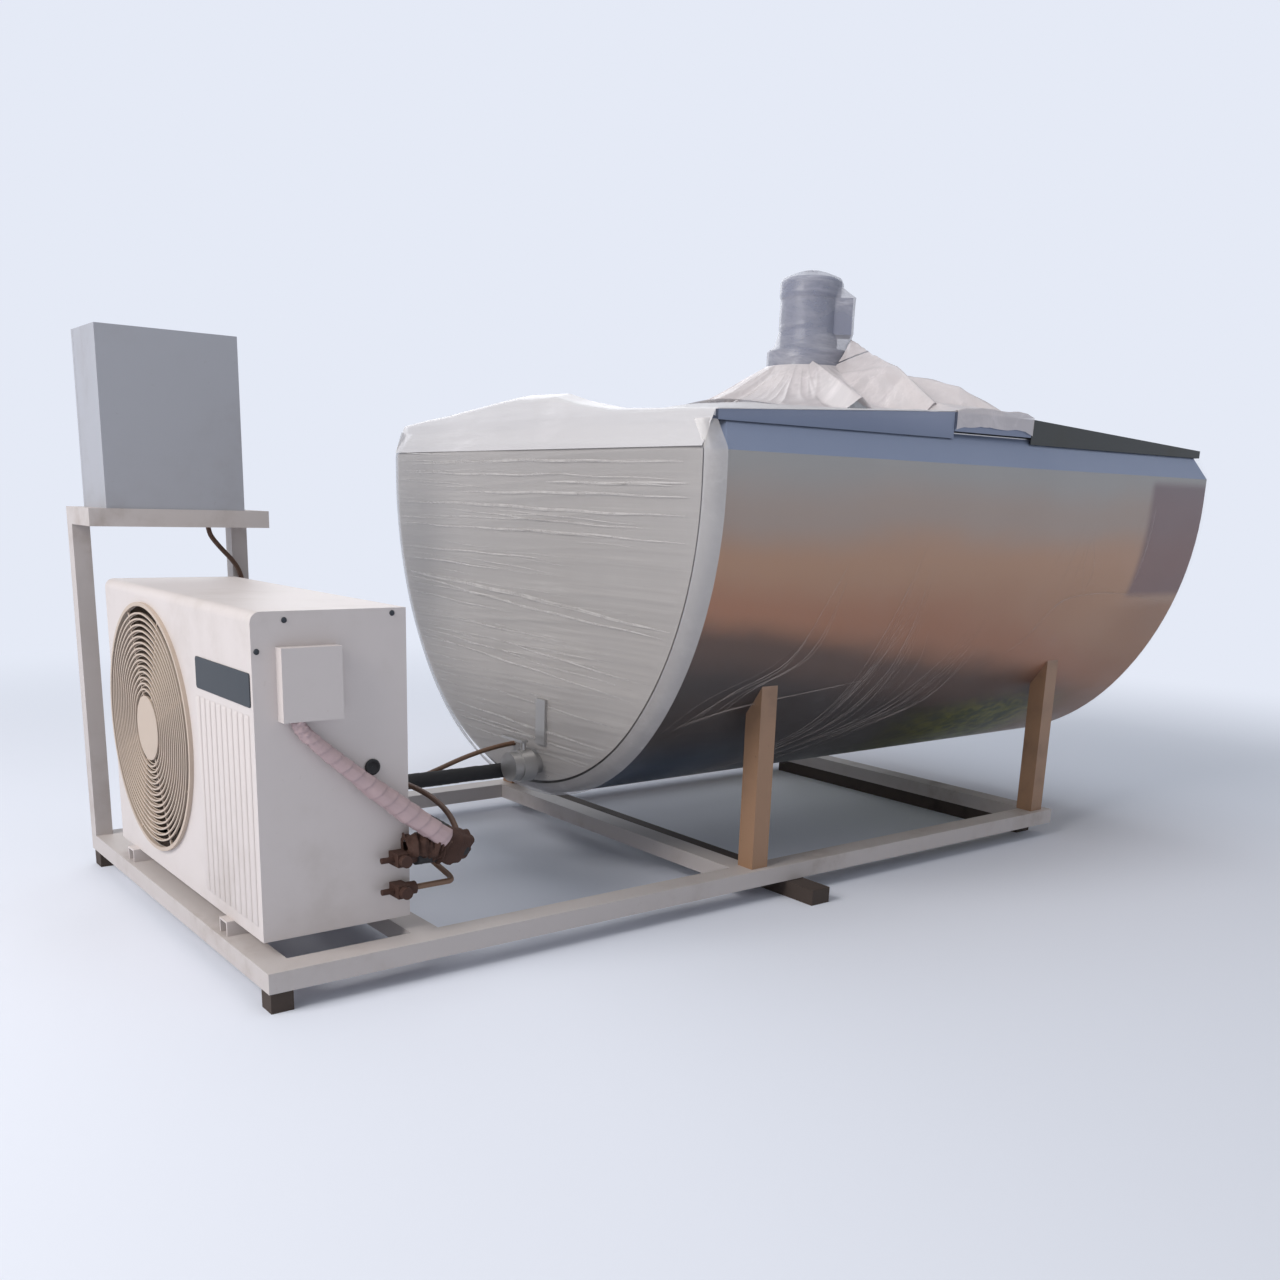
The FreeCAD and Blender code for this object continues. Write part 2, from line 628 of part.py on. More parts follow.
def lids():
    near_gap = bridge_start - s.lid_gap
    far_gap = bridge_end + s.lid_gap
    axes = {"front": bridge_start - s.lid_gap / 2, "rear": bridge_end + s.lid_gap / 2}
    pans = {
        "front": (lid_pan(lid_front, near_gap, True), lid_liner(lid_front, near_gap, True)),
        "rear": (lid_pan(far_gap, lid_back, False), lid_liner(far_gap, lid_back, False)),
    }
    piece("front_lid_handle", grip(lid_front + s.handle_inset, near_gap, lid_front))
    piece("rear_lid_handle", grip(lid_back - s.handle_inset, far_gap, lid_back))
    step = s.knuckle_long + s.knuckle_gap
    bridge_lugs = []
    pins = []
    for end, toward in (("front", -1), ("rear", 1)):
        lid_lugs = [knuckle(axes[end], side, s.knuckle_long, toward) for side in hinge_sides]
        piece(f"{end}_lid", fuse(*pans[end], *lid_lugs))
        for side in hinge_sides:
            for offset in (-step, step):
                bridge_lugs.append(knuckle(axes[end], side + offset, s.knuckle_long, -toward))
            pin_long = s.knuckle_long * 3 + s.knuckle_gap * 4
            pins.append(rod(s.pin_radius, pin_long, (axes[end], side - pin_long / 2, hinge_high), "y"))
    piece("lid_hinge_pins", group(*pins))
    pan_tall = lid_top - seat_top
    pan = cut(box((s.bridge_long, lid_half * 2, pan_tall), (bridge_start, -lid_half, seat_top)),
              box((s.bridge_long - s.skin * 2, lid_half * 2 - s.skin * 2, pan_tall - s.skin),
                  (bridge_start + s.skin, -lid_half + s.skin, seat_top)),
              rod(s.bush_radius, pan_tall * 2, (drive_x, 0, seat_top), "z"))
    piece("agitator_bridge", fuse(pan, *bridge_lugs))


def agitator():
    bush_low = lid_top - s.bush_tall + s.plate_thick / 2
    bush = cut(fuse(rod(s.bush_radius, s.bush_tall, (drive_x, 0, bush_low), "z"),
                    rod(s.bush_radius + s.plate_thick, s.plate_thick / 2, (drive_x, 0, lid_top), "z")),
               rod(s.shaft_radius + s.running_clear, s.bush_tall * 2, (drive_x, 0, bush_low), "z"))
    piece("shaft_bush", bush)
    pedestal_tall = s.pedestal_tall
    pedestal = cut(fuse(rod(s.plate_radius, s.plate_thick, (drive_x, 0, lid_top), "z"),
                        rod(s.pedestal_radius, pedestal_tall, (drive_x, 0, lid_top), "z")),
                   rod(s.pedestal_radius - s.pedestal_wall, pedestal_tall, (drive_x, 0, lid_top), "z"))
    piece("motor_pedestal", pedestal)
    gearbox = cut(rod(s.plate_radius, s.gearbox_tall, (drive_x, 0, gearbox_low), "z"),
                  rod(s.shaft_radius + s.running_clear, s.shaft_in_gearbox + s.plate_thick,
                      (drive_x, 0, gearbox_low), "z"))
    piece("gearbox", gearbox)
    motor_low = gearbox_low + s.gearbox_tall
    piece("agitator_motor", rod(s.motor_radius, s.motor_tall, (drive_x, 0, motor_low), "z"))
    cowl_low = motor_low + s.motor_tall
    dome = cone(s.cowl_radius, s.cowl_radius * 0.8, s.cowl_tall / 6,
                (drive_x, 0, cowl_low + s.cowl_tall * 5 / 6))
    cowl = fuse(rod(s.cowl_radius, s.cowl_tall * 5 / 6, (drive_x, 0, cowl_low), "z"), dome)
    piece("motor_fan_cowl", cowl)
    block = box((s.terminal_deep + s.motor_radius / 2, s.terminal_wide, s.terminal_tall),
                (s.motor_radius / 2, -s.terminal_wide / 2, s.terminal_rise))
    beside_motor = turned(block, Vector(0, 0, 1), TERMINAL_TURN, (drive_x, 0, motor_low))
    terminal = cut(beside_motor, rod(s.motor_radius, s.motor_tall, (drive_x, 0, motor_low), "z"))
    piece("motor_terminal_box", terminal)
    shaft_top = gearbox_low + s.shaft_in_gearbox
    piece("agitator_shaft", rod(s.shaft_radius, shaft_top - shaft_low, (drive_x, 0, shaft_low), "z"))
    blades = []
    for number in range(PADDLE_BLADES):
        blade = box((s.blade_reach, s.blade_thick, s.blade_tall),
                    (s.shaft_radius + s.skin, -s.blade_thick / 2, -s.blade_tall / 2))
        pitched = turned(blade, Vector(1, 0, 0), PADDLE_PITCH, (0, 0, 0))
        blades.append(turned(pitched, Vector(0, 0, 1), 360 / PADDLE_BLADES * number,
                             (drive_x, 0, shaft_low + s.blade_tall / 2)))
    hub = rod(s.hub_radius, s.hub_tall,
              (drive_x, 0, shaft_low + s.blade_tall / 2 - s.hub_tall / 2), "z")
    core = rod(s.shaft_radius, s.blade_tall * 2, (drive_x, 0, shaft_low - s.blade_tall / 2), "z")
    piece("agitator_paddle", cut(fuse(hub, *blades), core))


def outlet():
    y, z = s.outlet_across, outlet_high
    pipe_end = tank_front - s.stub_long
    valve_start = pipe_end - s.valve_long
    stem_hole = rod(s.stem_radius + s.running_clear, s.valve_radius * 2,
                    (valve_start + s.valve_long / 2, y, z), "z")
    valve = cut(rod(s.valve_radius, s.valve_long, (valve_start, y, z), "x"),
                rod(s.outlet_radius - s.outlet_wall, s.valve_long, (valve_start, y, z), "x"), stem_hole)
    piece("outlet_valve", valve)
    cap_start = valve_start - s.cap_long
    cap = cut(rod(s.cap_radius, s.cap_long, (cap_start, y, z), "x"),
              rod(s.outlet_radius - s.outlet_wall, s.cap_long / 2, (cap_start + s.cap_long / 2, y, z), "x"))
    piece("outlet_cap", cap)
    stem_low = z + s.outlet_radius
    stem_top = z + s.valve_radius + s.stem_tall
    stem = rod(s.stem_radius, stem_top - stem_low, (valve_start + s.valve_long / 2, y, stem_low), "z")
    lever = box((s.lever_wide, s.lever_long, s.lever_thick),
                (valve_start + s.valve_long / 2 - s.lever_wide / 2, y - s.lever_wide / 2,
                 stem_top - s.lever_thick))
    piece("outlet_handle", fuse(stem, lever))
    probe_reach = s.probe_long - s.skin
    probe = rod(s.probe_radius, probe_reach, (tank_front, s.probe_across, probe_high), "x")
    cover = cut(box((s.strip_deep, s.strip_wide, s.strip_tall),
                    (tank_front - s.strip_deep, s.probe_across - s.strip_wide / 2, strip_low)),
                box((s.strip_deep - s.skin, s.strip_wide - s.skin * 2, s.strip_tall - s.skin * 2),
                    (tank_front - s.strip_deep + s.skin, s.probe_across - s.strip_wide / 2 + s.skin,
                     strip_low + s.skin)))
    piece("temperature_probe", group(probe, cover))


def stand():
    post_tall = s.shelf_top - s.shelf_tall - rail_top
    post_y = half_frame - s.post_side
    posts = [tube_bar(post_tall, s.post_side, s.post_side, s.post_wall, (place, post_y, rail_top), "z")
             for place in (near_end, near_end + s.post_gap)]
    long = s.post_gap + s.post_side
    low = s.shelf_top - s.shelf_tall
    low_y = half_frame - s.shelf_deep
    sheet_thick = s.shelf_sheet
    hollow = (long - sheet_thick * 2, s.shelf_deep - sheet_thick * 2, s.shelf_tall - sheet_thick)
    tray = cut(box((long, s.shelf_deep, s.shelf_tall), (near_end, low_y, low)),
               box(hollow, (near_end + sheet_thick, low_y + sheet_thick, low)),
               rod(s.gland_radius, s.shelf_tall * 2, (gland_x, gland_y, low), "z"))
    piece("control_stand", group(tray, *posts))


# Places in the control box
box_x = near_end + s.box_start
box_end = box_x + s.box_wide
box_back = half_frame - s.box_deep + s.box_proud
box_front = box_back + s.box_deep
box_low = s.shelf_top
box_high = box_low + s.box_tall
door_back = box_front - s.door_thick
shell_front = door_back - s.door_clear
gland_x = box_end - s.gland_inset
gland_y = box_back + s.gland_forward
box_middle = box_x + s.box_wide / 2
door_axis_x = box_end + s.door_knuckle_radius
door_axis_y = shell_front + s.door_clear / 2
door_skin_back = box_front - s.box_wall
door_fittings = {
    "main_switch": (box_middle, box_low + s.switch_rise),
    "display": (box_middle, box_high - s.display_drop),
    "start_button": (box_middle - s.button_spread, box_high - s.button_drop),
    "stop_button": (box_middle + s.button_spread, box_high - s.button_drop),
    "lock": (box_x + s.lock_inset, box_low + s.box_tall / 2),
}
lamp_places = [(box_middle + across, box_high - s.lamp_drop)
               for across in (-s.lamp_spread, 0, s.lamp_spread)]


def through_door(radius, place):
    """A hole tool through the door's skin."""
    return rod(radius, s.box_wall * 4, (place[0], door_skin_back - s.box_wall, place[1]), "y")


def control_box():
    wall = s.box_wall
    depth = shell_front - box_back
    gland_hole = rod(s.gland_radius, wall * 4, (gland_x, gland_y, box_low - wall), "z")
    shell = cut(box((s.box_wide, depth, s.box_tall), (box_x, box_back, box_low)),
                box((s.box_wide - wall * 2, depth, s.box_tall - wall * 2),
                    (box_x + wall, box_back + wall, box_low + wall)), gland_hole)
    tray = cut(box((s.box_wide, s.door_thick, s.box_tall), (box_x, door_back, box_low)),
               box((s.box_wide - wall * 2, s.door_thick - wall, s.box_tall - wall * 2),
                   (box_x + wall, door_back, box_low + wall)))
    display_x, display_z = door_fittings["display"]
    window = box((s.display_wide, wall * 4, s.display_tall),
                 (display_x - s.display_wide / 2, door_skin_back - wall, display_z - s.display_tall / 2))
    holes = [window, through_door(s.switch_shank + s.running_clear, door_fittings["main_switch"]),
             through_door(s.lock_radius + s.running_clear, door_fittings["lock"])]
    for label in ("start_button", "stop_button"):
        holes.append(through_door(s.button_radius + s.bezel_deep, door_fittings[label]))
    for place in lamp_places:
        holes.append(through_door(s.switch_shank, place))
    door = cut(tray, *holes)
    shell_lugs = []
    door_lugs = []
    pins = []
    for low in (box_low + s.door_hinge_inset, box_high - s.door_hinge_inset - s.door_knuckle_long * 2):
        high = low + s.door_knuckle_long + s.door_knuckle_gap
        bore_at = (door_axis_x, door_axis_y, low)
        bore = rod(s.door_pin_radius + s.running_clear, s.door_knuckle_long * 3, bore_at, "z")
        leaf_deep = s.door_knuckle_radius * 3
        leaves = (
            (low, shell_lugs, door_axis_y - leaf_deep, leaf_deep - s.door_clear),
            (high, door_lugs, door_axis_y + s.door_clear, s.door_thick - s.door_clear * 2),
        )
        for start, lugs, low_y, deep in leaves:
            barrel = rod(s.door_knuckle_radius, s.door_knuckle_long, (door_axis_x, door_axis_y, start), "z")
            leaf = box((s.door_knuckle_radius, deep, s.door_knuckle_long), (box_end, low_y, start))
            lugs.append(cut(fuse(barrel, leaf), bore))
        pins.append(rod(s.door_pin_radius, s.door_knuckle_long * 2 + s.door_knuckle_gap, bore_at, "z"))
    piece("control_box_shell", fuse(shell, *shell_lugs))
    piece("control_box_door", fuse(door, *door_lugs))
    piece("door_hinge_pins", group(*pins))
    plate_y = box_back + wall + s.panel_standoff
    plate = box((s.box_wide - s.panel_margin * 2, s.panel_thick, s.box_tall - s.panel_margin * 2),
                (box_x + s.panel_margin, plate_y, box_low + s.panel_margin))
    studs = [rod(s.stud_radius, s.panel_standoff, (x, box_back + wall, z), "y")
             for x in (box_x + s.panel_margin * 2, box_end - s.panel_margin * 2)
             for z in (box_low + s.panel_margin * 2, box_high - s.panel_margin * 2)]
    device_y = plate_y + s.panel_thick
    contactor = box((s.contactor_wide, s.contactor_deep, s.contactor_tall),
                    (box_x + s.panel_margin * 2, device_y, box_high - s.contactor_drop))
    terminals = box((s.strip_block_long, s.strip_block_deep, s.strip_block_tall),
                    (box_x + s.panel_margin * 2, device_y, box_low + s.strip_block_rise))
    piece("switchgear", group(fuse(plate, *studs), contactor, terminals))
    lip = s.display_lip
    display_low_x = display_x - s.display_wide / 2
    display_low_z = display_z - s.display_tall / 2
    display = box((s.display_wide, s.display_deep, s.display_tall),
                  (display_low_x, box_front - s.display_deep, display_low_z))
    bezel = box((s.display_wide + lip * 2, lip, s.display_tall + lip * 2),
                (display_low_x - lip, box_front, display_low_z - lip))
    piece("temperature_controller", fuse(display, bezel))
    switch_x, switch_z = door_fittings["main_switch"]
    grip_tall = s.switch_radius * 2 - s.knob_trim * 2
    knob_y = box_front + s.seat_clear
    disc = rod(s.switch_radius, s.switch_deep / 2, (switch_x, knob_y, switch_z), "y")
    wing = box((s.switch_radius / 2, s.switch_deep, grip_tall),
               (switch_x - s.switch_radius / 4, knob_y, switch_z - grip_tall / 2))
    shank = rod(s.switch_shank, s.switch_deep * 2, (switch_x, box_front - s.switch_deep, switch_z), "y")
    knob = fuse(disc, wing, shank)
    piece("main_switch_knob", knob)
    block_side = s.switch_radius * 2
    switch_block = cut(box((block_side, s.switch_deep * 2, block_side),
                           (switch_x - s.switch_radius, door_skin_back - s.switch_deep * 2,
                            switch_z - s.switch_radius)),
                       rod(s.switch_shank + s.running_clear, s.switch_deep * 2,
                           (switch_x, door_skin_back - s.switch_deep * 1.2, switch_z), "y"))
    lamps = [fuse(rod(s.lamp_radius, s.lamp_deep, (x, box_front, z), "y"),
                  rod(s.switch_shank, s.lamp_deep * 4, (x, box_front - s.lamp_deep * 4, z), "y"))
             for x, z in lamp_places]
    piece("pilot_lamps", group(*lamps))
    bezels = []
    for label in ("start_button", "stop_button"):
        x, z = door_fittings[label]
        sleeve_out = s.button_radius + s.bezel_deep
        sleeve_long = s.button_bezel + s.button_travel
        sleeve = rod(sleeve_out, sleeve_long, (x, box_front - sleeve_long, z), "y")
        collar = rod(s.button_bezel + wall, s.bezel_deep, (x, box_front, z), "y")
        block = box((s.button_radius * 3, s.button_bezel, s.button_radius * 3),
                    (x - s.button_radius * 1.5, box_front - sleeve_long - s.button_bezel,
                     z - s.button_radius * 1.5))
        bore = rod(s.button_radius + s.running_clear, sleeve_long * 2, (x, box_front - sleeve_long, z), "y")
        bezels.append(cut(fuse(sleeve, collar, block), bore))
        button_long = s.bezel_deep + s.button_proud + s.button_bezel - s.seat_clear
        piece(label, rod(s.button_radius, button_long,
                         (x, box_front - s.button_bezel + s.seat_clear, z), "y"))
    piece("switch_holders", group(switch_block, *bezels))
    lock_x, lock_z = door_fittings["lock"]
    lock_start = box_front + s.lock_proud - s.lock_long
    lock = fuse(rod(s.lock_radius, s.lock_long, (lock_x, lock_start, lock_z), "y"),
                box((s.lock_radius, s.bezel_deep, s.lock_radius * 2.5),
                    (lock_x - s.lock_radius / 2, lock_start - s.bezel_deep, lock_z - s.lock_radius / 2)))
    piece("door_lock", lock)
    flange = s.gland_radius + s.gland_flange
    gland = cut(fuse(rod(s.gland_radius, s.gland_long, (gland_x, gland_y, gland_low), "z"),
                     rod(flange, wall * 3, (gland_x, gland_y, box_low + wall), "z"),
                     rod(flange, wall * 4, (gland_x, gland_y, box_low - s.shelf_sheet - wall * 4), "z")),
                rod(s.cable_radius, s.gland_long, (gland_x, gland_y, gland_low), "z"))
    piece("cable_gland", gland)


gland_low = box_low + s.box_wall * 4 - s.gland_long

# Places on the condensing unit
unit_x = near_end + s.unit_start
unit_y = s.unit_side
unit_z = s.unit_low
wall_low = s.pan_tall
wall_high = s.unit_tall - s.top_tall
wall_height = wall_high - wall_low
fan_hole = s.unit_tall / 2 - s.fan_edge
fan_high = s.unit_tall / 2 + s.fan_lift
fan_across = s.unit_wide - s.fan_side_gap - fan_hole
fan_reach = fan_hole - s.fan_clear
partition_place = fan_across - fan_hole - s.partition_gap
cover_low = s.unit_tall - s.cover_drop


def at_unit(x, y, z):
    return (unit_x + x, unit_y + y, unit_z + z)


def cover_outline(inset):
    """Side view of the unit's top cover, rounded over at the front."""
    deep = s.unit_deep - inset
    tall = s.top_tall - inset
    radius = s.top_round - inset
    return [
        (inset, 0),
        (deep, 0),
        (deep, tall),
        (s.top_round, tall, s.top_round, s.top_tall - s.top_round, radius),
        (inset, s.top_tall - s.top_round),
    ]


def unit_casing():
    sheet_thick = s.unit_sheet
    feet = []
    for place in (s.near_foot_place, s.unit_wide - s.far_foot_gap):
        foot_tall = unit_z - rail_top
        foot_y = unit_y + place - s.unit_foot_wide / 2
        wall = s.unit_foot_wall
        bar = box((s.unit_foot_long, s.unit_foot_wide, foot_tall),
                  (unit_x - s.unit_foot_out, foot_y, rail_top))
        slot = box((s.unit_foot_long, s.unit_foot_wide - wall * 2, foot_tall - wall),
                   (unit_x - s.unit_foot_out, foot_y + wall, rail_top))
        feet.append(cut(bar, slot))
    pan = cut(box((s.unit_deep, s.unit_wide, s.pan_tall), at_unit(0, 0, 0)),
              box((s.unit_deep - sheet_thick * 2, s.unit_wide - sheet_thick * 2, s.pan_tall),
                  at_unit(sheet_thick, sheet_thick, sheet_thick)))
    piece("unit_base_pan", group(pan, *feet))
    front = cut(box((sheet_thick, s.unit_wide, wall_height), at_unit(0, 0, wall_low)),
                rod(fan_hole, sheet_thick * 4, at_unit(-sheet_thick, fan_across, fan_high), "x"))
    piece("unit_front_panel", front)
    side = fuse(box((s.unit_deep - sheet_thick, sheet_thick, wall_height),
                    at_unit(sheet_thick, 0, wall_low)),
                box((sheet_thick, partition_place, wall_height),
                    at_unit(s.unit_deep - sheet_thick, 0, wall_low)))
    piece("unit_side_panel", side)
    cover = cut(padded("XZ_Plane", cover_outline(0), s.unit_wide, at_unit(0, s.unit_wide, wall_high)),
                padded("XZ_Plane", cover_outline(sheet_thick), s.unit_wide - sheet_thick * 2,
                       at_unit(0, s.unit_wide - sheet_thick, wall_high)))
    piece("unit_top_cover", cover)
    piece("partition_plate", box((s.unit_deep - sheet_thick * 2, sheet_thick, wall_height),
                                 at_unit(sheet_thick, partition_place, wall_low)))
    coil_low = s.pan_tall / 2
    side_y = s.unit_wide - s.coil_thick - sheet_thick
    back_x = s.unit_deep - s.coil_thick - sheet_thick
    coil_tall = wall_high - coil_low
    coil = fuse(box((s.coil_thick, s.unit_wide - partition_place - sheet_thick * 2, coil_tall),
                    at_unit(back_x, partition_place + sheet_thick, coil_low)),
                box((back_x - s.coil_thick / 2, s.coil_thick, coil_tall),
                    at_unit(s.coil_thick / 2, side_y, coil_low)))
    piece("condenser_coil", coil)
    wall = s.cover_wall
    hollow = (s.cover_wide - wall * 2, s.cover_deep - wall, s.cover_tall - wall * 2)
    terminal = cut(box((s.cover_wide, s.cover_deep, s.cover_tall),
                       at_unit(s.cover_start, -s.cover_deep, cover_low)),
                   box(hollow, at_unit(s.cover_start + wall, -s.cover_deep + wall, cover_low + wall)))
    piece("terminal_cover", terminal)


def grille():
    """Concentric wire rings on spokes round a plain middle disc."""
    body = doc.addObject("PartDesign::Body", "grille_body")
    rings = body_sketch(body, "YZ_Plane")
    ring_pitch = (fan_hole - s.grille_disc - s.ring_margin) / RING_COUNT
    radii = [s.grille_disc]
    for number in range(RING_COUNT):
        radii.append(s.grille_disc + ring_pitch * (number + 1))
        radii.append(s.grille_disc + ring_pitch * (number + 1) + s.ring_wide)
    radii.append(fan_hole)
    radii.append(fan_hole + s.grille_rim)
    for number, radius in enumerate(radii):
        rings.addGeometry(Part.Circle(Vector(0, 0, 0), Vector(0, 0, 1), value_of(radius)), False)
        rings.addConstraint(Sketcher.Constraint("Coincident", number, 3, -1, 1))
        row = rings.addConstraint(Sketcher.Constraint("Radius", number, value_of(radius)))
        bind(rings, f"Constraints[{row}]", radius)
    pad(body, rings, s.grille_thick)
    put(body, at_unit(-s.grille_thick * 2, fan_across, fan_high))
    bars = []
    for number in range(SPOKE_COUNT):
        spoke = box((s.grille_thick, s.spoke_wide, fan_hole - s.grille_disc / 2),
                    (0, -s.spoke_wide / 2, s.grille_disc / 2))
        bars.append(turned(spoke, Vector(1, 0, 0), 360 / SPOKE_COUNT * (number + 0.5),
                           at_unit(-s.grille_thick, fan_across, fan_high)))
    seat = cut(rod(fan_hole + s.grille_rim, s.grille_thick,
                   at_unit(-s.grille_thick, fan_across, fan_high), "x"),
               rod(fan_hole, s.grille_thick, at_unit(-s.grille_thick, fan_across, fan_high), "x"))
    piece("fan_grille", fuse(body, seat, *bars))


def unit_inside():
    hub_at = at_unit(s.fan_place, fan_across, fan_high)
    centre = at_unit(s.fan_place + s.fan_hub_long / 2, fan_across, fan_high)
    blades = []
    for number in range(FAN_BLADES):
        blade = box((s.fan_blade, fan_reach * FAN_BLADE_SHARE, fan_reach),
                    (-s.fan_blade / 2, -fan_reach * FAN_BLADE_SHARE / 2, 0))
        pitched = turned(blade, Vector(0, 0, 1), FAN_PITCH, (0, 0, 0))
        blades.append(turned(pitched, Vector(1, 0, 0), 360 / FAN_BLADES * number, centre))
    limit = rod(fan_reach, s.fan_hub_long * 4,
                at_unit(s.fan_place - s.fan_hub_long, fan_across, fan_high), "x")
    hub = rod(s.fan_hub_radius, s.fan_hub_long, hub_at, "x")
    shaft_start = s.fan_place + s.fan_hub_long / 2
    shaft_long = s.motor_can_place + s.motor_can_long / 4 - shaft_start
    shaft_at = at_unit(shaft_start, fan_across, fan_high)
    shaft = rod(s.fan_shaft_radius, shaft_long, shaft_at, "x")
    piece("fan_propeller", fuse(common(fuse(hub, *blades), limit), shaft))
    can_at = at_unit(s.motor_can_place, fan_across, fan_high)
    can = cut(rod(s.motor_can_radius, s.motor_can_long, can_at, "x"),
              rod(s.fan_shaft_radius + s.running_clear, s.motor_can_long / 2, can_at, "x"))
    piece("fan_motor", can)
    piece("fan_motor_bracket", box((s.bracket_thick, s.bracket_wide, wall_high - s.unit_sheet),
                                   at_unit(s.motor_can_place + s.motor_can_long,
                                           fan_across - s.bracket_wide / 2, s.unit_sheet)))
    in_x, in_y = s.compressor_in, partition_place / 2
    foot = s.unit_sheet
    spread = ((-s.mount_along, -s.mount_near), (s.mount_along, -s.mount_near), (0, s.mount_far))
    mounts = [rod(s.mount_radius, s.mount_tall, at_unit(in_x + x, in_y + y, foot), "z")
              for x, y in spread]
    can_low = foot + s.mount_tall
    plate = rod(s.compressor_radius + s.compressor_foot, s.compressor_plate,
                at_unit(in_x, in_y, can_low), "z")
    tall = s.compressor_tall
    compressor = fuse(plate, rod(s.compressor_radius, tall, at_unit(in_x, in_y, can_low), "z"),
                      cone(s.compressor_radius, s.compressor_radius / 2, tall / 10,
                           at_unit(in_x, in_y, can_low + tall)))
    beside_x = in_x + s.compressor_radius + s.accumulator_radius
    accumulator = rod(s.accumulator_radius, s.accumulator_tall,
                      at_unit(beside_x, in_y, can_low + s.accumulator_lift), "z")
    piece("compressor", group(compressor, accumulator, *mounts))


def service_valve(high):
    """A brass service valve: its block, its cap in front and its flare nut toward the tank."""
    side = s.service_side
    half = side / 2
    middle = s.service_out / 2
    block = box((side, s.service_out, side), at_unit(s.valve_in - half, -s.service_out, high - half))
    nut = rod(s.nut_radius, s.nut_long, at_unit(s.valve_in + half, -middle, high), "x")
    cap = rod(s.cap_nut_radius, half, at_unit(s.valve_in, -s.service_out - half, high), "y")
    port = rod(s.liquid_radius, side, at_unit(s.valve_in - half - side, -middle, high), "x")
    return fuse(block, nut, cap, port)


def tube_along(points, bends):
    """Straight runs joined by tangent arcs, as one wire."""
    edges = []
    last = points[0]
    for i in range(1, len(points) - 1):
        into = (points[i] - points[i - 1]).normalize()
        out = (points[i + 1] - points[i]).normalize()
        turn = into.getAngle(out)
        bend = value_of(bends[i - 1])
        reach = bend * math.tan(turn / 2)
        start = points[i] - into * reach
        end = points[i] + out * reach
        bisector = (out - into).normalize()
        centre = points[i] + bisector * (bend / math.cos(turn / 2))
        middle = centre - bisector * bend
        edges.append(Part.LineSegment(last, start).toShape())
        edges.append(Part.Arc(start, middle, end).toShape())
        last = end
    edges.append(Part.LineSegment(last, points[-1]).toShape())
    return Part.Wire(edges)


def swept_tube(places, bends, radius):
    """A round line swept along its route, checked against its section times its length."""
    points = [Vector(*[value_of(size) for size in place]) for place in places]
    path = tube_along(points, bends)
    heading = points[1] - points[0]
    ring = Part.Wire(Part.makeCircle(value_of(radius), points[0], heading))
    solid = path.makePipeShell([ring], True, True)
    expected = math.pi * value_of(radius) ** 2 * path.Length
    print("line", round(path.Length), "mm long, volume ratio", round(solid.Volume / expected, 4))
    feature = doc.addObject("Part::Feature", fresh("line"))
    feature.Shape = solid
    return feature


def refrigerant_lines():
    """The thick suction line and the thin liquid line, from the valves to the tank's header."""
    valve_y = -s.service_out / 2
    start_x = s.valve_in + s.service_side / 2 + s.nut_long
    header_face = tank_front + vessel_out - s.header_back
    behind = near_end + s.suction_turn
    gas = at_unit(start_x, valve_y, s.gas_valve_high)
    piece("service_valves", group(service_valve(s.gas_valve_high), service_valve(s.liquid_valve_high)))
    suction = swept_tube([
        gas,
        (behind, gas[1], gas[2]),
        (behind, gas[1] + s.suction_climb, suction_high),
        (behind, s.suction_across, suction_high),
        (header_face, s.suction_across, suction_high),
    ], [s.suction_bend_a, s.suction_bend_b, s.suction_bend_c], s.suction_radius)
    liquid = at_unit(start_x, valve_y, s.liquid_valve_high)
    beside = near_end + s.liquid_turn
    side_y = s.liquid_across + s.liquid_side
    bends = [s.liquid_bend_a, s.liquid_bend_b, s.liquid_bend_c, s.liquid_bend_d, s.liquid_bend_e]
    liquid_pipe = swept_tube([
        liquid,
        (beside, liquid[1], liquid[2]),
        (beside, liquid[1] + s.liquid_climb, liquid_high - s.liquid_drop_a),
        (beside, side_y, liquid_high - s.liquid_drop_b),
        (beside + s.liquid_run, side_y, liquid_high - s.liquid_drop_c),
        (tank_front - s.liquid_end, s.liquid_across, liquid_high),
        (header_face, s.liquid_across, liquid_high),
    ], bends, s.liquid_radius)
    piece("refrigerant_lines", group(suction, liquid_pipe))


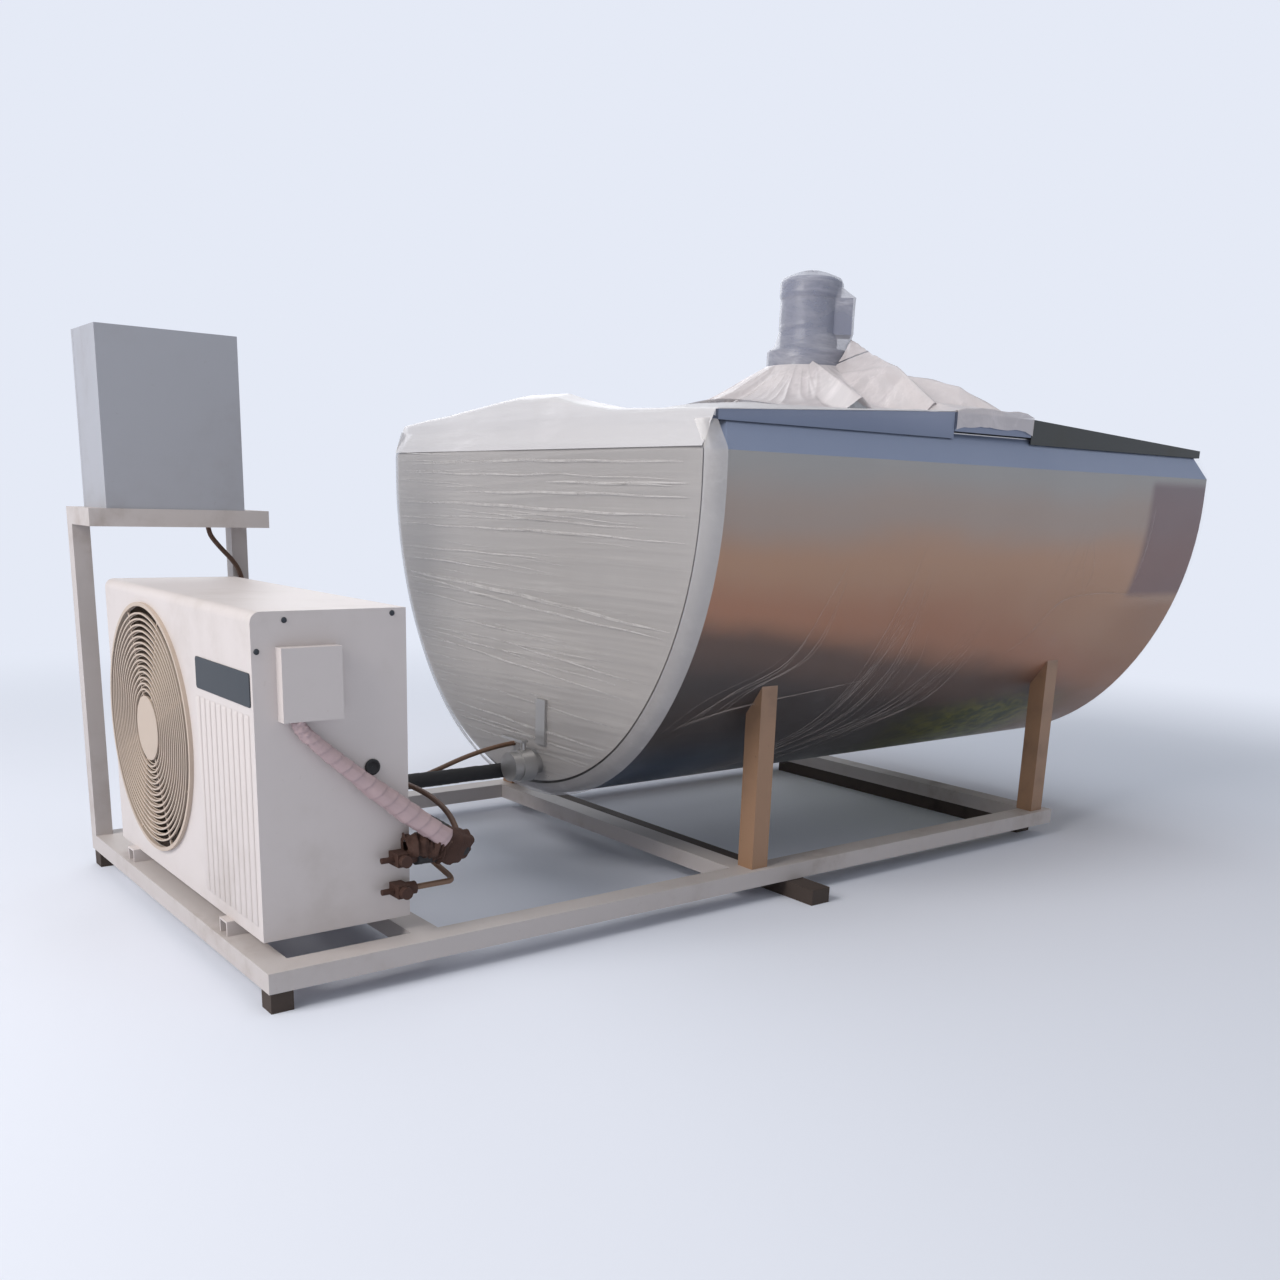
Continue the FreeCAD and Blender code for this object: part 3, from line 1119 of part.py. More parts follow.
def control_lines():
    """The taped bundle below the terminal cover and the cable that runs on from it to the gland."""
    bundle_y = unit_y - s.cover_deep / 2
    top_x, _, top_z = at_unit(s.cover_start + s.bundle_in, 0, cover_low)
    join = (near_end + s.bundle_end, bundle_y - s.bundle_end_out, s.bundle_end_high)
    bend = (near_end + s.bundle_turn, bundle_y - s.bundle_turn_out, s.bundle_turn_high)
    piece("taped_bundle", swept_tube([
        (top_x, bundle_y, top_z),
        (top_x, bundle_y, top_z - s.bundle_drop),
        bend,
        join,
    ], [s.bundle_bend_a, s.bundle_bend_b], s.taped_radius))
    ahead = Vector(*[value_of(b) - value_of(a) for a, b in zip(bend, join)]).normalize()
    lead = [a + s.cable_lead * step for a, step in zip(join, ahead)]
    behind = near_end + s.suction_turn
    post_x = near_end + s.post_gap + s.post_side / 2
    post_y = half_frame - s.post_side - s.cable_radius - s.seat_clear
    bends = [s.cable_bend_a, s.cable_bend_b, s.cable_bend_b, s.cable_bend_c, s.cable_bend_a,
             s.cable_bend_c, s.cable_bend_d, s.cable_bend_e]
    piece("control_cable", swept_tube([
        join,
        lead,
        (near_end + s.cable_turn, lead[1] + s.cable_first, s.cable_low),
        (behind, lead[1] + s.cable_second, s.cable_lift),
        (post_x + s.cable_near_post, post_y - s.cable_before_post, s.cable_dip),
        (post_x, post_y, s.cable_foot),
        (post_x, post_y, s.cable_head),
        (gland_x + s.cable_beside, gland_y + s.cable_ahead, s.cable_top),
        (gland_x, gland_y, s.cable_under),
        (gland_x, gland_y, gland_low + s.cable_in_gland),
    ], bends, s.cable_radius))


tent_top = lid_top + s.tent_tall
tent_across = lid_half - s.tent_inset


def tent_outline(half_x, half_y, corner):
    return [
        (half_x, -(half_y - corner)),
        (half_x, half_y - corner),
        (half_x - corner, half_y),
        (-(half_x - corner), half_y),
        (-half_x, half_y - corner),
        (-half_x, -(half_y - corner)),
        (-(half_x - corner), -half_y),
        (half_x - corner, -half_y),
    ]


def tent_form(lower):
    base = lid_top + s.seat_clear
    low = free_sketch(tent_outline(s.tent_reach, tent_across, s.tent_corner),
                      (drive_x, 0, base - lower), Z_AXIS)
    neck = free_sketch(tent_outline(s.tent_neck, s.tent_neck, s.tent_neck_corner),
                       (drive_x, 0, tent_top - lower), Z_AXIS)
    return loft(low, neck)


def film():
    """The stretched film from the drive's neck down to the lids, parted above the bridge."""
    neck_hole = rod(s.tent_neck - s.tent_hole_inset, tent_top, (drive_x, 0, lid_top), "z")
    reach = tent_across * 2
    halves = {
        "front_tent_film": drive_x - s.tent_split / 2,
        "rear_tent_film": drive_x + s.tent_split / 2 - reach,
    }
    for label, start in halves.items():
        other_half = box((reach, reach * 2, tent_top), (start, -reach, lid_top - reach / 4))
        piece(label, cut(tent_form(0), tent_form(s.tent_thick), neck_hole, other_half))


def save():
    doc.recompute()
    for thing in doc.Objects:
        if "Invalid" in thing.State or "Error" in thing.State:
            raise RuntimeError(f"{thing.Name} {thing.Label} failed")
    for thing in pieces:
        if thing.Shape.isNull() or not thing.Shape.isValid():
            raise RuntimeError(f"{thing.Label} has no valid shape")
    os.makedirs("parts", exist_ok=True)
    for thing in pieces:
        thing.Shape.exportStep(os.path.join("parts", f"{thing.Label}.step"))
    print(len(pieces), "sub-parts written")


base_frame()
legs()
tank()
lids()
agitator()
outlet()
stand()
control_box()
unit_casing()
grille()
unit_inside()
refrigerant_lines()
control_lines()
film()
save()
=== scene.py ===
"""A milk cooler: tank, agitator drive, condensing unit and control stand, dressed for its photograph."""
import math
import random

import bmesh
import bpy
from mathutils import Matrix, Vector, noise


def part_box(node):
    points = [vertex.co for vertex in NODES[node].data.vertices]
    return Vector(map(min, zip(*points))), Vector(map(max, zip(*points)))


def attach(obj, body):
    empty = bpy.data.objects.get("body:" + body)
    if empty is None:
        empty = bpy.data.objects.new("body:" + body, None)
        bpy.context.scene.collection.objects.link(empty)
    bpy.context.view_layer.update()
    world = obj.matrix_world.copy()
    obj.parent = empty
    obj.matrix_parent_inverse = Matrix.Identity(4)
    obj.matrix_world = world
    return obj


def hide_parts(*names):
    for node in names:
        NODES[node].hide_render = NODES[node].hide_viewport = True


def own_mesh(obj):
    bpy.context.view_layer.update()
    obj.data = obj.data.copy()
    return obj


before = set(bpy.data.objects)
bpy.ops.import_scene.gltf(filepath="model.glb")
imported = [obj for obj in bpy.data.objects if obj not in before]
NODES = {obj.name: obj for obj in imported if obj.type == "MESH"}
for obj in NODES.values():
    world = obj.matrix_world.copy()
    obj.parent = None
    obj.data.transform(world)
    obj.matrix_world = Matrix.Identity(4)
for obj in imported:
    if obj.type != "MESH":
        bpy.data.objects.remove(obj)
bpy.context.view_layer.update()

MM = 0.001

# The tank's section, from the frame
JACKET_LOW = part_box("outer_jacket")[0]
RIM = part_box("shoulder_ring")[1].z
PANEL_LOW, PANEL_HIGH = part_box("end_panels")
FRONT_LID_LOW, FRONT_LID_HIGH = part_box("front_lid")
MOTOR_LOW, MOTOR_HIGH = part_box("agitator_motor")
COWL_LOW, COWL_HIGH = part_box("motor_fan_cowl")
GEARBOX_LOW, GEARBOX_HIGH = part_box("gearbox")
DRIVE = (GEARBOX_LOW + GEARBOX_HIGH) / 2
HALF_TANK = PANEL_HIGH.y
SIDE_RADIUS = 830 * MM
BELLY_RADIUS = 640 * MM
TANK_LOW = PANEL_LOW.z
SHOULDER = PANEL_HIGH.z
PAST_MIDDLE = SIDE_RADIUS - HALF_TANK
CENTRE_DROP = math.sqrt((SIDE_RADIUS - BELLY_RADIUS) ** 2 - PAST_MIDDLE ** 2)
BELLY_CENTRE = TANK_LOW + BELLY_RADIUS
SPRING = BELLY_CENTRE + CENTRE_DROP

# Camera and light
PICTURE = 1280
FOCAL_PIXELS = 1238.6
CENTRE_X, CENTRE_Y = 619.6, 814.2
SENSOR = 36.0
CAMERA_PLACE = Vector((-2.201, -2.615, 0.9305))
YAW, PITCH, ROLL = math.radians(37.62), math.radians(14.26), math.radians(1.67)
PALE = (0.783, 0.823, 0.922)


def set_camera():
    """The camera stands where the photograph was taken from."""
    ahead = Vector((math.sin(YAW) * math.cos(PITCH), math.cos(YAW) * math.cos(PITCH), -math.sin(PITCH)))
    level = Vector((math.cos(YAW), -math.sin(YAW), 0))
    above = level.cross(ahead)
    right = level * math.cos(ROLL) + above * math.sin(ROLL)
    up = above * math.cos(ROLL) - level * math.sin(ROLL)
    data = bpy.data.cameras.new("camera")
    data.sensor_width = SENSOR
    data.lens = SENSOR * FOCAL_PIXELS / PICTURE
    data.shift_x = (PICTURE / 2 - CENTRE_X) / PICTURE
    data.shift_y = (CENTRE_Y - PICTURE / 2) / PICTURE
    data.clip_start = 0.05
    camera = bpy.data.objects.new("camera", data)
    bpy.context.scene.collection.objects.link(camera)
    turn = Matrix((right, up, -ahead)).transposed().to_4x4()
    camera.matrix_world = Matrix.Translation(CAMERA_PLACE) @ turn
    bpy.context.scene.camera = camera


def area_light(name, place, aim, size, power, colour=(1, 1, 1)):
    data = bpy.data.lights.new(name, "AREA")
    data.shape = "RECTANGLE"
    data.size, data.size_y = size
    data.energy = power
    data.color = colour
    lamp = bpy.data.objects.new(name, data)
    bpy.context.scene.collection.objects.link(lamp)
    lamp.location = place
    lamp.rotation_euler = (Vector(aim) - Vector(place)).to_track_quat("-Z", "Y").to_euler()


def set_world():
    """Pale to the camera and in reflections, and an even soft light on everything else."""
    world = bpy.data.worlds.new("studio")
    bpy.context.scene.world = world
    world.use_nodes = True
    tree = world.node_tree
    tree.nodes.clear()
    out = tree.nodes.new("ShaderNodeOutputWorld")
    seen = tree.nodes.new("ShaderNodeBackground")
    seen.inputs["Color"].default_value = (*PALE, 1)
    lit = tree.nodes.new("ShaderNodeBackground")
    lit.inputs["Color"].default_value = (0.93, 0.96, 1.0, 1)
    lit.inputs["Strength"].default_value = 0.38
    path = tree.nodes.new("ShaderNodeLightPath")
    either = tree.nodes.new("ShaderNodeMath")
    either.operation = "MAXIMUM"
    third = tree.nodes.new("ShaderNodeMath")
    third.operation = "MAXIMUM"
    mix = tree.nodes.new("ShaderNodeMixShader")
    tree.links.new(path.outputs["Is Camera Ray"], either.inputs[0])
    tree.links.new(path.outputs["Is Transmission Ray"], either.inputs[1])
    tree.links.new(either.outputs[0], third.inputs[0])
    tree.links.new(path.outputs["Is Glossy Ray"], third.inputs[1])
    tree.links.new(third.outputs[0], mix.inputs["Fac"])
    tree.links.new(lit.outputs[0], mix.inputs[1])
    tree.links.new(seen.outputs[0], mix.inputs[2])
    tree.links.new(mix.outputs[0], out.inputs["Surface"])


def set_lights():
    area_light("key", (-6.0, -0.5, 4.2), (0, 0, 0.7), (3.4, 3.4), 330, (1.0, 0.96, 0.92))
    area_light("top", (0.4, 0.2, 5.2), (0.2, 0, 0.8), (5.0, 4.0), 50)
    area_light("fill", (2.8, -5.2, 2.2), (0.2, 0, 0.6), (4.0, 2.6), 8, (0.9, 0.94, 1.0))
    area_light("rim", (1.5, 4.8, 3.4), (0, 0, 0.8), (4.0, 2.6), 50)


# Node helpers for materials
def node(tree, kind, **settings):
    """A shader node, with its settings and its inputs' values by name."""
    made = tree.nodes.new(kind)
    for name, value in settings.items():
        if hasattr(made, name):
            setattr(made, name, value)
        else:
            made.inputs[name.replace("_", " ").title()].default_value = value
    return made


def wire(tree, source, target):
    tree.links.new(source, target)


def maths(tree, operation, first, second=None, clamp=False):
    made = tree.nodes.new("ShaderNodeMath")
    made.operation = operation
    made.use_clamp = clamp
    for socket, value in zip(made.inputs, (first, second)):
        if value is None:
            continue
        if isinstance(value, (int, float)):
            socket.default_value = value
        else:
            tree.links.new(value, socket)
    return made.outputs[0]


def mapped(tree, scale, turn=(0, 0, 0), source=None):
    """Object coordinates, scaled, for a texture."""
    if source is None:
        source = tree.nodes.new("ShaderNodeTexCoord").outputs["Object"]
    mapping = tree.nodes.new("ShaderNodeMapping")
    mapping.inputs["Scale"].default_value = scale
    mapping.inputs["Rotation"].default_value = turn
    tree.links.new(source, mapping.inputs["Vector"])
    return mapping.outputs["Vector"]


def noise_value(tree, vector, scale, detail=3.0, rough=0.5, distortion=0.0):
    made = tree.nodes.new("ShaderNodeTexNoise")
    made.inputs["Scale"].default_value = scale
    made.inputs["Detail"].default_value = detail
    made.inputs["Roughness"].default_value = rough
    made.inputs["Distortion"].default_value = distortion
    tree.links.new(vector, made.inputs["Vector"])
    return made.outputs["Fac"]


def between(tree, value, low, high, to_low=0.0, to_high=1.0):
    made = tree.nodes.new("ShaderNodeMapRange")
    made.interpolation_type = "SMOOTHSTEP"
    made.inputs["From Min"].default_value = low
    made.inputs["From Max"].default_value = high
    made.inputs["To Min"].default_value = to_low
    made.inputs["To Max"].default_value = to_high
    tree.links.new(value, made.inputs["Value"])
    return made.outputs["Result"]


def blend_colour(tree, factor, first, second):
    made = tree.nodes.new("ShaderNodeMix")
    made.data_type = "RGBA"
    for socket, value in zip((made.inputs[0], made.inputs[6], made.inputs[7]), (factor, first, second)):
        if isinstance(value, tuple):
            socket.default_value = (*value, 1)
        elif isinstance(value, (int, float)):
            socket.default_value = value
        else:
            tree.links.new(value, socket)
    return made.outputs[2]


def new_group(name, inputs, outputs):
    """A shared effect: sockets by name, as (kind, value) for inputs and kind for outputs."""
    tree = bpy.data.node_groups.new(name, "ShaderNodeTree")
    kinds = {"value": "NodeSocketFloat", "colour": "NodeSocketColor", "vector": "NodeSocketVector"}
    for label, (kind, value) in inputs.items():
        socket = tree.interface.new_socket(label, in_out="INPUT", socket_type=kinds[kind])
        socket.default_value = (*value, 1) if kind == "colour" else value
    for label, kind in outputs.items():
        tree.interface.new_socket(label, in_out="OUTPUT", socket_type=kinds[kind])
    return tree, tree.nodes.new("NodeGroupInput"), tree.nodes.new("NodeGroupOutput")


def wear_group():
    """Soft blotches and fine specks that dull and darken a paint."""
    tree, into, out = new_group(
        "paint_wear",
        {"Paint": ("colour", (0.8, 0.8, 0.8)), "Dirt": ("colour", (0.3, 0.26, 0.22)),
         "Amount": ("value", 0.4), "Scale": ("value", 6.0)},
        {"Colour": "colour", "Mask": "value"})
    where = mapped(tree, (1, 1, 1))
    broad = noise_value(tree, where, 3.0, 6.0, 0.62)
    fine = noise_value(tree, where, 60.0, 4.0, 0.7)
    scaled = tree.nodes.new("ShaderNodeVectorMath")
    scaled.operation = "SCALE"
    wire(tree, where, scaled.inputs[0])
    wire(tree, into.outputs["Scale"], scaled.inputs["Scale"])
    patches = noise_value(tree, scaled.outputs[0], 1.0, 8.0, 0.6)
    mask = maths(tree, "MULTIPLY", between(tree, broad, 0.42, 0.75), between(tree, patches, 0.4, 0.7))
    specks = between(tree, fine, 0.66, 0.74)
    mask = maths(tree, "ADD", mask, maths(tree, "MULTIPLY", specks, 0.5))
    mask = maths(tree, "MULTIPLY", mask, into.outputs["Amount"], clamp=True)
    colour = blend_colour(tree, mask, into.outputs["Paint"], into.outputs["Dirt"])
    wire(tree, colour, out.inputs["Colour"])
    wire(tree, mask, out.inputs["Mask"])
    return tree


def grain_group():
    """Fine parallel brushing, as a height and a change of roughness."""
    tree, into, out = new_group(
        "brushed_grain", {"Along": ("vector", (1, 60, 60)), "Strength": ("value", 1.0)},
        {"Height": "value", "Rough": "value"})
    coords = tree.nodes.new("ShaderNodeTexCoord").outputs["Object"]
    product = tree.nodes.new("ShaderNodeVectorMath")
    product.operation = "MULTIPLY"
    wire(tree, coords, product.inputs[0])
    wire(tree, into.outputs["Along"], product.inputs[1])
    lines = noise_value(tree, product.outputs[0], 9.0, 5.0, 0.7)
    cloud = noise_value(tree, coords, 4.0, 4.0, 0.6)
    rough = maths(tree, "ADD", maths(tree, "MULTIPLY", lines, 0.25), maths(tree, "MULTIPLY", cloud, 0.3))
    wire(tree, maths(tree, "MULTIPLY", lines, into.outputs["Strength"]), out.inputs["Height"])
    wire(tree, rough, out.inputs["Rough"])
    return tree


def streak_group():
    """Creases of stretched film: long streaks along the wrap, broken by short cross folds."""
    tree, into, out = new_group(
        "film_creases",
        {"Wrap": ("vector", (1, 1, 14)), "Turn": ("value", 0.0), "Density": ("value", 0.5)},
        {"Mask": "value", "Height": "value"})
    coords = tree.nodes.new("ShaderNodeTexCoord").outputs["Object"]
    spin = tree.nodes.new("ShaderNodeVectorRotate")
    spin.rotation_type = "Y_AXIS"
    wire(tree, coords, spin.inputs["Vector"])
    wire(tree, into.outputs["Turn"], spin.inputs["Angle"])
    product = tree.nodes.new("ShaderNodeVectorMath")
    product.operation = "MULTIPLY"
    wire(tree, spin.outputs[0], product.inputs[0])
    wire(tree, into.outputs["Wrap"], product.inputs[1])
    wide = noise_value(tree, product.outputs[0], 2.4, 6.0, 0.66, 0.35)
    fine = noise_value(tree, product.outputs[0], 9.0, 5.0, 0.7, 0.6)
    cloud = noise_value(tree, coords, 2.2, 4.0, 0.6)
    ridge = maths(tree, "SUBTRACT", 1.0, maths(tree, "MULTIPLY", maths(tree, "ABSOLUTE",
                  maths(tree, "SUBTRACT", wide, 0.5)), 9.0), clamp=True)
    thin = between(tree, fine, 0.56, 0.72)
    veil = between(tree, cloud, 0.35, 0.7)
    mask = maths(tree, "ADD", maths(tree, "MULTIPLY", ridge, 0.55), maths(tree, "MULTIPLY", thin, 0.5))
    mask = maths(tree, "MULTIPLY", mask, maths(tree, "ADD", veil, 0.35))
    mask = maths(tree, "MULTIPLY", mask, maths(tree, "MULTIPLY", into.outputs["Density"], 2.0), clamp=True)
    wire(tree, mask, out.inputs["Mask"])
    wire(tree, maths(tree, "ADD", wide, maths(tree, "MULTIPLY", fine, 0.4)), out.inputs["Height"])
    return tree


WEAR = wear_group()
GRAIN = grain_group()
STREAKS = streak_group()


def shader(name, **values):
    """A material with one Principled shader, its plain values set on the shader's own sockets."""
    material = bpy.data.materials.new(name)
    material.use_nodes = True
    tree = material.node_tree
    bsdf = tree.nodes["Principled BSDF"]
    for label, value in values.items():
        socket = bsdf.inputs[label.replace("_", " ").title().replace("Ior", "IOR")]
        socket.default_value = (*value, 1) if isinstance(value, tuple) else value
    return material, tree, bsdf


COLOURS = ("Paint", "Dirt")


def use_group(tree, group, **values):
    made = tree.nodes.new("ShaderNodeGroup")
    made.node_tree = group
    for label, value in values.items():
        made.inputs[label].default_value = (*value, 1) if label in COLOURS else value
    return made


def bump(tree, bsdf, height, strength, distance):
    made = tree.nodes.new("ShaderNodeBump")
    made.inputs["Strength"].default_value = strength
    made.inputs["Distance"].default_value = distance
    tree.links.new(height, made.inputs["Height"])
    tree.links.new(made.outputs["Normal"], bsdf.inputs["Normal"])


def painted(name, paint, dirt, amount=0.35, scale=6.0, rough=0.42, orange_peel=0.15):
    """Sprayed sheet: a slight orange peel, worn and dusty in patches."""
    material, tree, bsdf = shader(name, roughness=rough)
    wear = use_group(tree, WEAR, Paint=paint, Dirt=dirt, Amount=amount, Scale=scale)
    wire(tree, wear.outputs["Colour"], bsdf.inputs["Base Color"])
    dulled = between(tree, wear.outputs["Mask"], 0, 1, rough, min(rough + 0.4, 1))
    wire(tree, dulled, bsdf.inputs["Roughness"])
    peel = noise_value(tree, mapped(tree, (1, 1, 1)), 260, 2.0)
    bump(tree, bsdf, peel, orange_peel, 0.0006)
    return material


def painted_reflection_by_height(tree, height, stops):
    """Soft bands of painted reflection and shade by height, between the tank's underside and the front lid's
    top.
    """
    share = tree.nodes.new("ShaderNodeMapRange")
    share.inputs["From Min"].default_value = TANK_LOW
    share.inputs["From Max"].default_value = FRONT_LID_HIGH.z
    wire(tree, height, share.inputs["Value"])
    ramp = tree.nodes.new("ShaderNodeValToRGB")
    ramp.color_ramp.interpolation = "EASE"
    while len(ramp.color_ramp.elements) < len(stops):
        ramp.color_ramp.elements.new(0.5)
    for element, (place, colour) in zip(ramp.color_ramp.elements, stops):
        element.position = place
        element.color = (*colour, 1)
    wire(tree, share.outputs["Result"], ramp.inputs["Fac"])
    return ramp.outputs["Color"]


def painted_reflection_steel(name, stops, rough=0.32, along=(1, 60, 60), metal=0.85):
    """Brushed stainless sheet with painted reflections of sky, field and ground, as soft bands of colour by
    height.
    """
    material, tree, bsdf = shader(name, metallic=metal)
    coords = tree.nodes.new("ShaderNodeTexCoord").outputs["Object"]
    split = tree.nodes.new("ShaderNodeSeparateXYZ")
    wire(tree, coords, split.inputs[0])
    wave = noise_value(tree, mapped(tree, (0.7, 1.2, 1.6)), 1.6, 5.0, 0.55, 0.4)
    drift = maths(tree, "MULTIPLY", maths(tree, "SUBTRACT", wave, 0.5), 0.16)
    height = maths(tree, "ADD", split.outputs["Z"], drift)
    painted_reflections = painted_reflection_by_height(tree, height, stops)
    grain = use_group(tree, GRAIN, Along=along, Strength=1.0)
    wire(tree, painted_reflections, bsdf.inputs["Base Color"])
    wire(tree, maths(tree, "ADD", grain.outputs["Rough"], rough - 0.27), bsdf.inputs["Roughness"])
    bump(tree, bsdf, grain.outputs["Height"], 0.12, 0.0008)
    return material


def painted_field_reflection(name, stops):
    """The tank's polished side, with painted reflections of sky, dry field and grass, and the painted shade
    of its own shadow below.
    """
    material, tree, bsdf = shader(name, metallic=0.35)
    coords = tree.nodes.new("ShaderNodeTexCoord").outputs["Object"]
    split = tree.nodes.new("ShaderNodeSeparateXYZ")
    wire(tree, coords, split.inputs[0])
    along, high = split.outputs["X"], split.outputs["Z"]
    wave = noise_value(tree, mapped(tree, (0.8, 1.0, 1.4)), 1.8, 5.0, 0.55, 0.4)
    drift = maths(tree, "MULTIPLY", maths(tree, "SUBTRACT", wave, 0.5), 0.12)
    low = between(tree, high, 0.9, 0.55)
    tilt = maths(tree, "MULTIPLY", maths(tree, "MULTIPLY", maths(tree, "ADD", along, 0.2), 0.17), low)
    height = maths(tree, "ADD", maths(tree, "ADD", high, drift), tilt)
    painted_reflections = painted_reflection_by_height(tree, height, stops)
    # Painted reflection of grass: a green patch low on the side, from the middle towards the far end.
    grass_reflection_noise = noise_value(tree, mapped(tree, (9, 9, 16)), 3.0, 5.0, 0.7)
    reflected_tufts = between(tree, grass_reflection_noise, 0.35, 0.65)
    grass_reflection = blend_colour(tree, reflected_tufts, (0.02, 0.028, 0.006), (0.16, 0.17, 0.01))
    where = maths(tree, "MULTIPLY", between(tree, along, 0.3, 0.75), between(tree, along, 1.3, 1.0))
    where = maths(tree, "MULTIPLY", where, between(tree, maths(tree, "ADD", high, drift), 0.44, 0.36))
    colour = blend_colour(tree, where, painted_reflections, grass_reflection)
    # Painted dark blue reflection, low on the side at the near end.
    dark_blue_reflection = maths(tree, "MULTIPLY", between(tree, along, 0.05, -0.3), between(tree, high, 0.42, 0.28))
    colour = blend_colour(tree, dark_blue_reflection, colour, (0.03, 0.05, 0.085))
    # Painted pink-purple reflection, high on the side at the far end.
    pink_reflection = maths(tree, "MULTIPLY", between(tree, along, 1.09, 1.13), between(tree, high, 0.69, 0.72))
    pink_reflection = maths(tree, "MULTIPLY", pink_reflection, between(tree, high, 1.03, 1.0))
    colour = blend_colour(tree, maths(tree, "MULTIPLY", pink_reflection, 0.75), colour, (0.145, 0.09, 0.105))
    # Painted orange-brown reflection of the field, on the lower part of the side at the far end.
    glow = maths(tree, "MULTIPLY", between(tree, along, 0.9, 1.3), between(tree, high, 0.7, 0.66))
    colour = blend_colour(tree, maths(tree, "MULTIPLY", glow, 0.6), colour, (0.3, 0.14, 0.07))
    wire(tree, colour, bsdf.inputs["Base Color"])
    grain = use_group(tree, GRAIN, Along=(1, 60, 60), Strength=1.0)
    wire(tree, maths(tree, "ADD", grain.outputs["Rough"], 0.12), bsdf.inputs["Roughness"])
    bump(tree, bsdf, grain.outputs["Height"], 0.08, 0.0008)
    return material


def film_material(name, wrap, turn=0.0, density=0.5, clear=0.1, veil=0.75, colour=(0.86, 0.86, 0.88),
                  relief=0.5, rough=0.3):
    """Clear stretch film that whitens where it creases."""
    material, tree, bsdf = shader(name, base_color=colour, roughness=rough, coat_weight=0.3,
                                  coat_roughness=0.15, ior=1.45)
    creases = use_group(tree, STREAKS, Wrap=wrap, Turn=turn, Density=density)
    alpha = between(tree, creases.outputs["Mask"], 0.0, 1.0, clear, veil)
    wire(tree, alpha, bsdf.inputs["Alpha"])
    bump(tree, bsdf, creases.outputs["Height"], relief, 0.006)
    material.blend_method = "BLEND"
    return material


def see_through(material, share):
    """Thins a finish so that what lies under it still shows, in patches."""
    tree = material.node_tree
    patches = noise_value(tree, mapped(tree, (1, 1, 1)), 14.0, 3.0, 0.6)
    alpha = between(tree, patches, 0.3, 0.7, share * 0.35, share)
    wire(tree, alpha, tree.nodes["Principled BSDF"].inputs["Alpha"])
    material.blend_method = "BLEND"
    return material


def paint_node(name, material):
    """Gives a CAD piece its material."""
    data = NODES[name].data
    data.materials.clear()
    data.materials.append(material)


# Painted reflections on the tank's side by height: near-black painted shade under the belly, brown and orange
# field, grey, then blue sky towards the top.
SIDE_REFLECTION_BANDS = (
    (0.0, (0.024, 0.02, 0.019)),
    (0.3, (0.04, 0.03, 0.028)),
    (0.42, (0.11, 0.066, 0.05)),
    (0.52, (0.38, 0.18, 0.105)),
    (0.64, (0.42, 0.245, 0.155)),
    (0.74, (0.34, 0.27, 0.23)),
    (0.85, (0.31, 0.3, 0.29)),
    (0.9, (0.2, 0.24, 0.33)),
    (1.0, (0.3, 0.34, 0.43)),
)
STEEL = painted_field_reflection("tank_steel", SIDE_REFLECTION_BANDS)
# Painted reflections by height on the ends, the lids and the shoulder: darker towards the bottom, lighter and
# bluer towards the top.
END_REFLECTION_TONES = ((0.0, (0.1, 0.09, 0.08)), (0.3, (0.3, 0.28, 0.27)), (0.8, (0.42, 0.41, 0.41)),
             (1.0, (0.6, 0.62, 0.66)))
END_STEEL = painted_reflection_steel("end_steel", END_REFLECTION_TONES, 0.38, (60, 1, 60))
LID_REFLECTION_TONES = ((0.0, (0.1, 0.12, 0.18)), (0.9, (0.16, 0.19, 0.27)), (1.0, (0.22, 0.25, 0.34)))
LID_STEEL = painted_reflection_steel("lid_steel", LID_REFLECTION_TONES, 0.4, (1, 60, 60), 0.4)
SHOULDER_REFLECTION_TONES = ((0.0, (0.12, 0.15, 0.22)), (1.0, (0.2, 0.24, 0.34)))
SHOULDER_STEEL = painted_reflection_steel("shoulder_steel", SHOULDER_REFLECTION_TONES, 0.4, (1, 60, 60), 0.4)
# The rear stainless lid's near-black colour is a painted dark reflection of distant trees, with real wear
# patches over it.
DARK_REFLECTION_LID = painted("dark_reflection_lid", (0.018, 0.021, 0.02), (0.05, 0.045, 0.03), 0.5, 5.0, 0.45, 0.4)
# Plain steel is lighter towards the top, as a painted reflection by height.
PLAIN_STEEL = painted_reflection_steel("plain_steel", ((0.0, (0.42, 0.41, 0.4)), (1.0, (0.55, 0.54, 0.54))), 0.4)
CREAM = painted("cream_paint", (0.62, 0.57, 0.56), (0.3, 0.25, 0.2), 0.22)
GREY_PAINT = painted("box_paint", (0.36, 0.37, 0.41), (0.24, 0.22, 0.22), 0.45, 9.0)
TUBE_PAINT = painted("tube_paint", (0.52, 0.48, 0.47), (0.24, 0.18, 0.14), 0.7, 9.0, 0.5)
# The legs' brown is a painted reflection of the field on their steel, with real wear patches over it.
LEG_PAINTED_REFLECTION = painted("leg_painted_reflection", (0.34, 0.2, 0.12), (0.12, 0.08, 0.06), 0.8, 7.0, 0.4)
DRIVE_PAINT = painted("drive_paint", (0.1, 0.13, 0.23), (0.1, 0.09, 0.08), 0.4)
BLOCK = painted("dark_block", (0.05, 0.035, 0.028), (0.015, 0.012, 0.01), 0.8, 12.0, 0.8, 0.8)
GRILLE = painted("grille_plastic", (0.5, 0.41, 0.34), (0.25, 0.2, 0.16), 0.4, 9.0, 0.5)
FAN_PLASTIC = painted("fan_plastic", (0.3, 0.25, 0.22), (0.12, 0.1, 0.08), 0.6, 9.0, 0.5)
BLACK = painted("black_plastic", (0.03, 0.03, 0.033), (0.12, 0.11, 0.1), 0.35, 8.0, 0.5)
RUBBER = painted("black_rubber", (0.018, 0.018, 0.02), (0.1, 0.09, 0.08), 0.3, 10.0, 0.75)
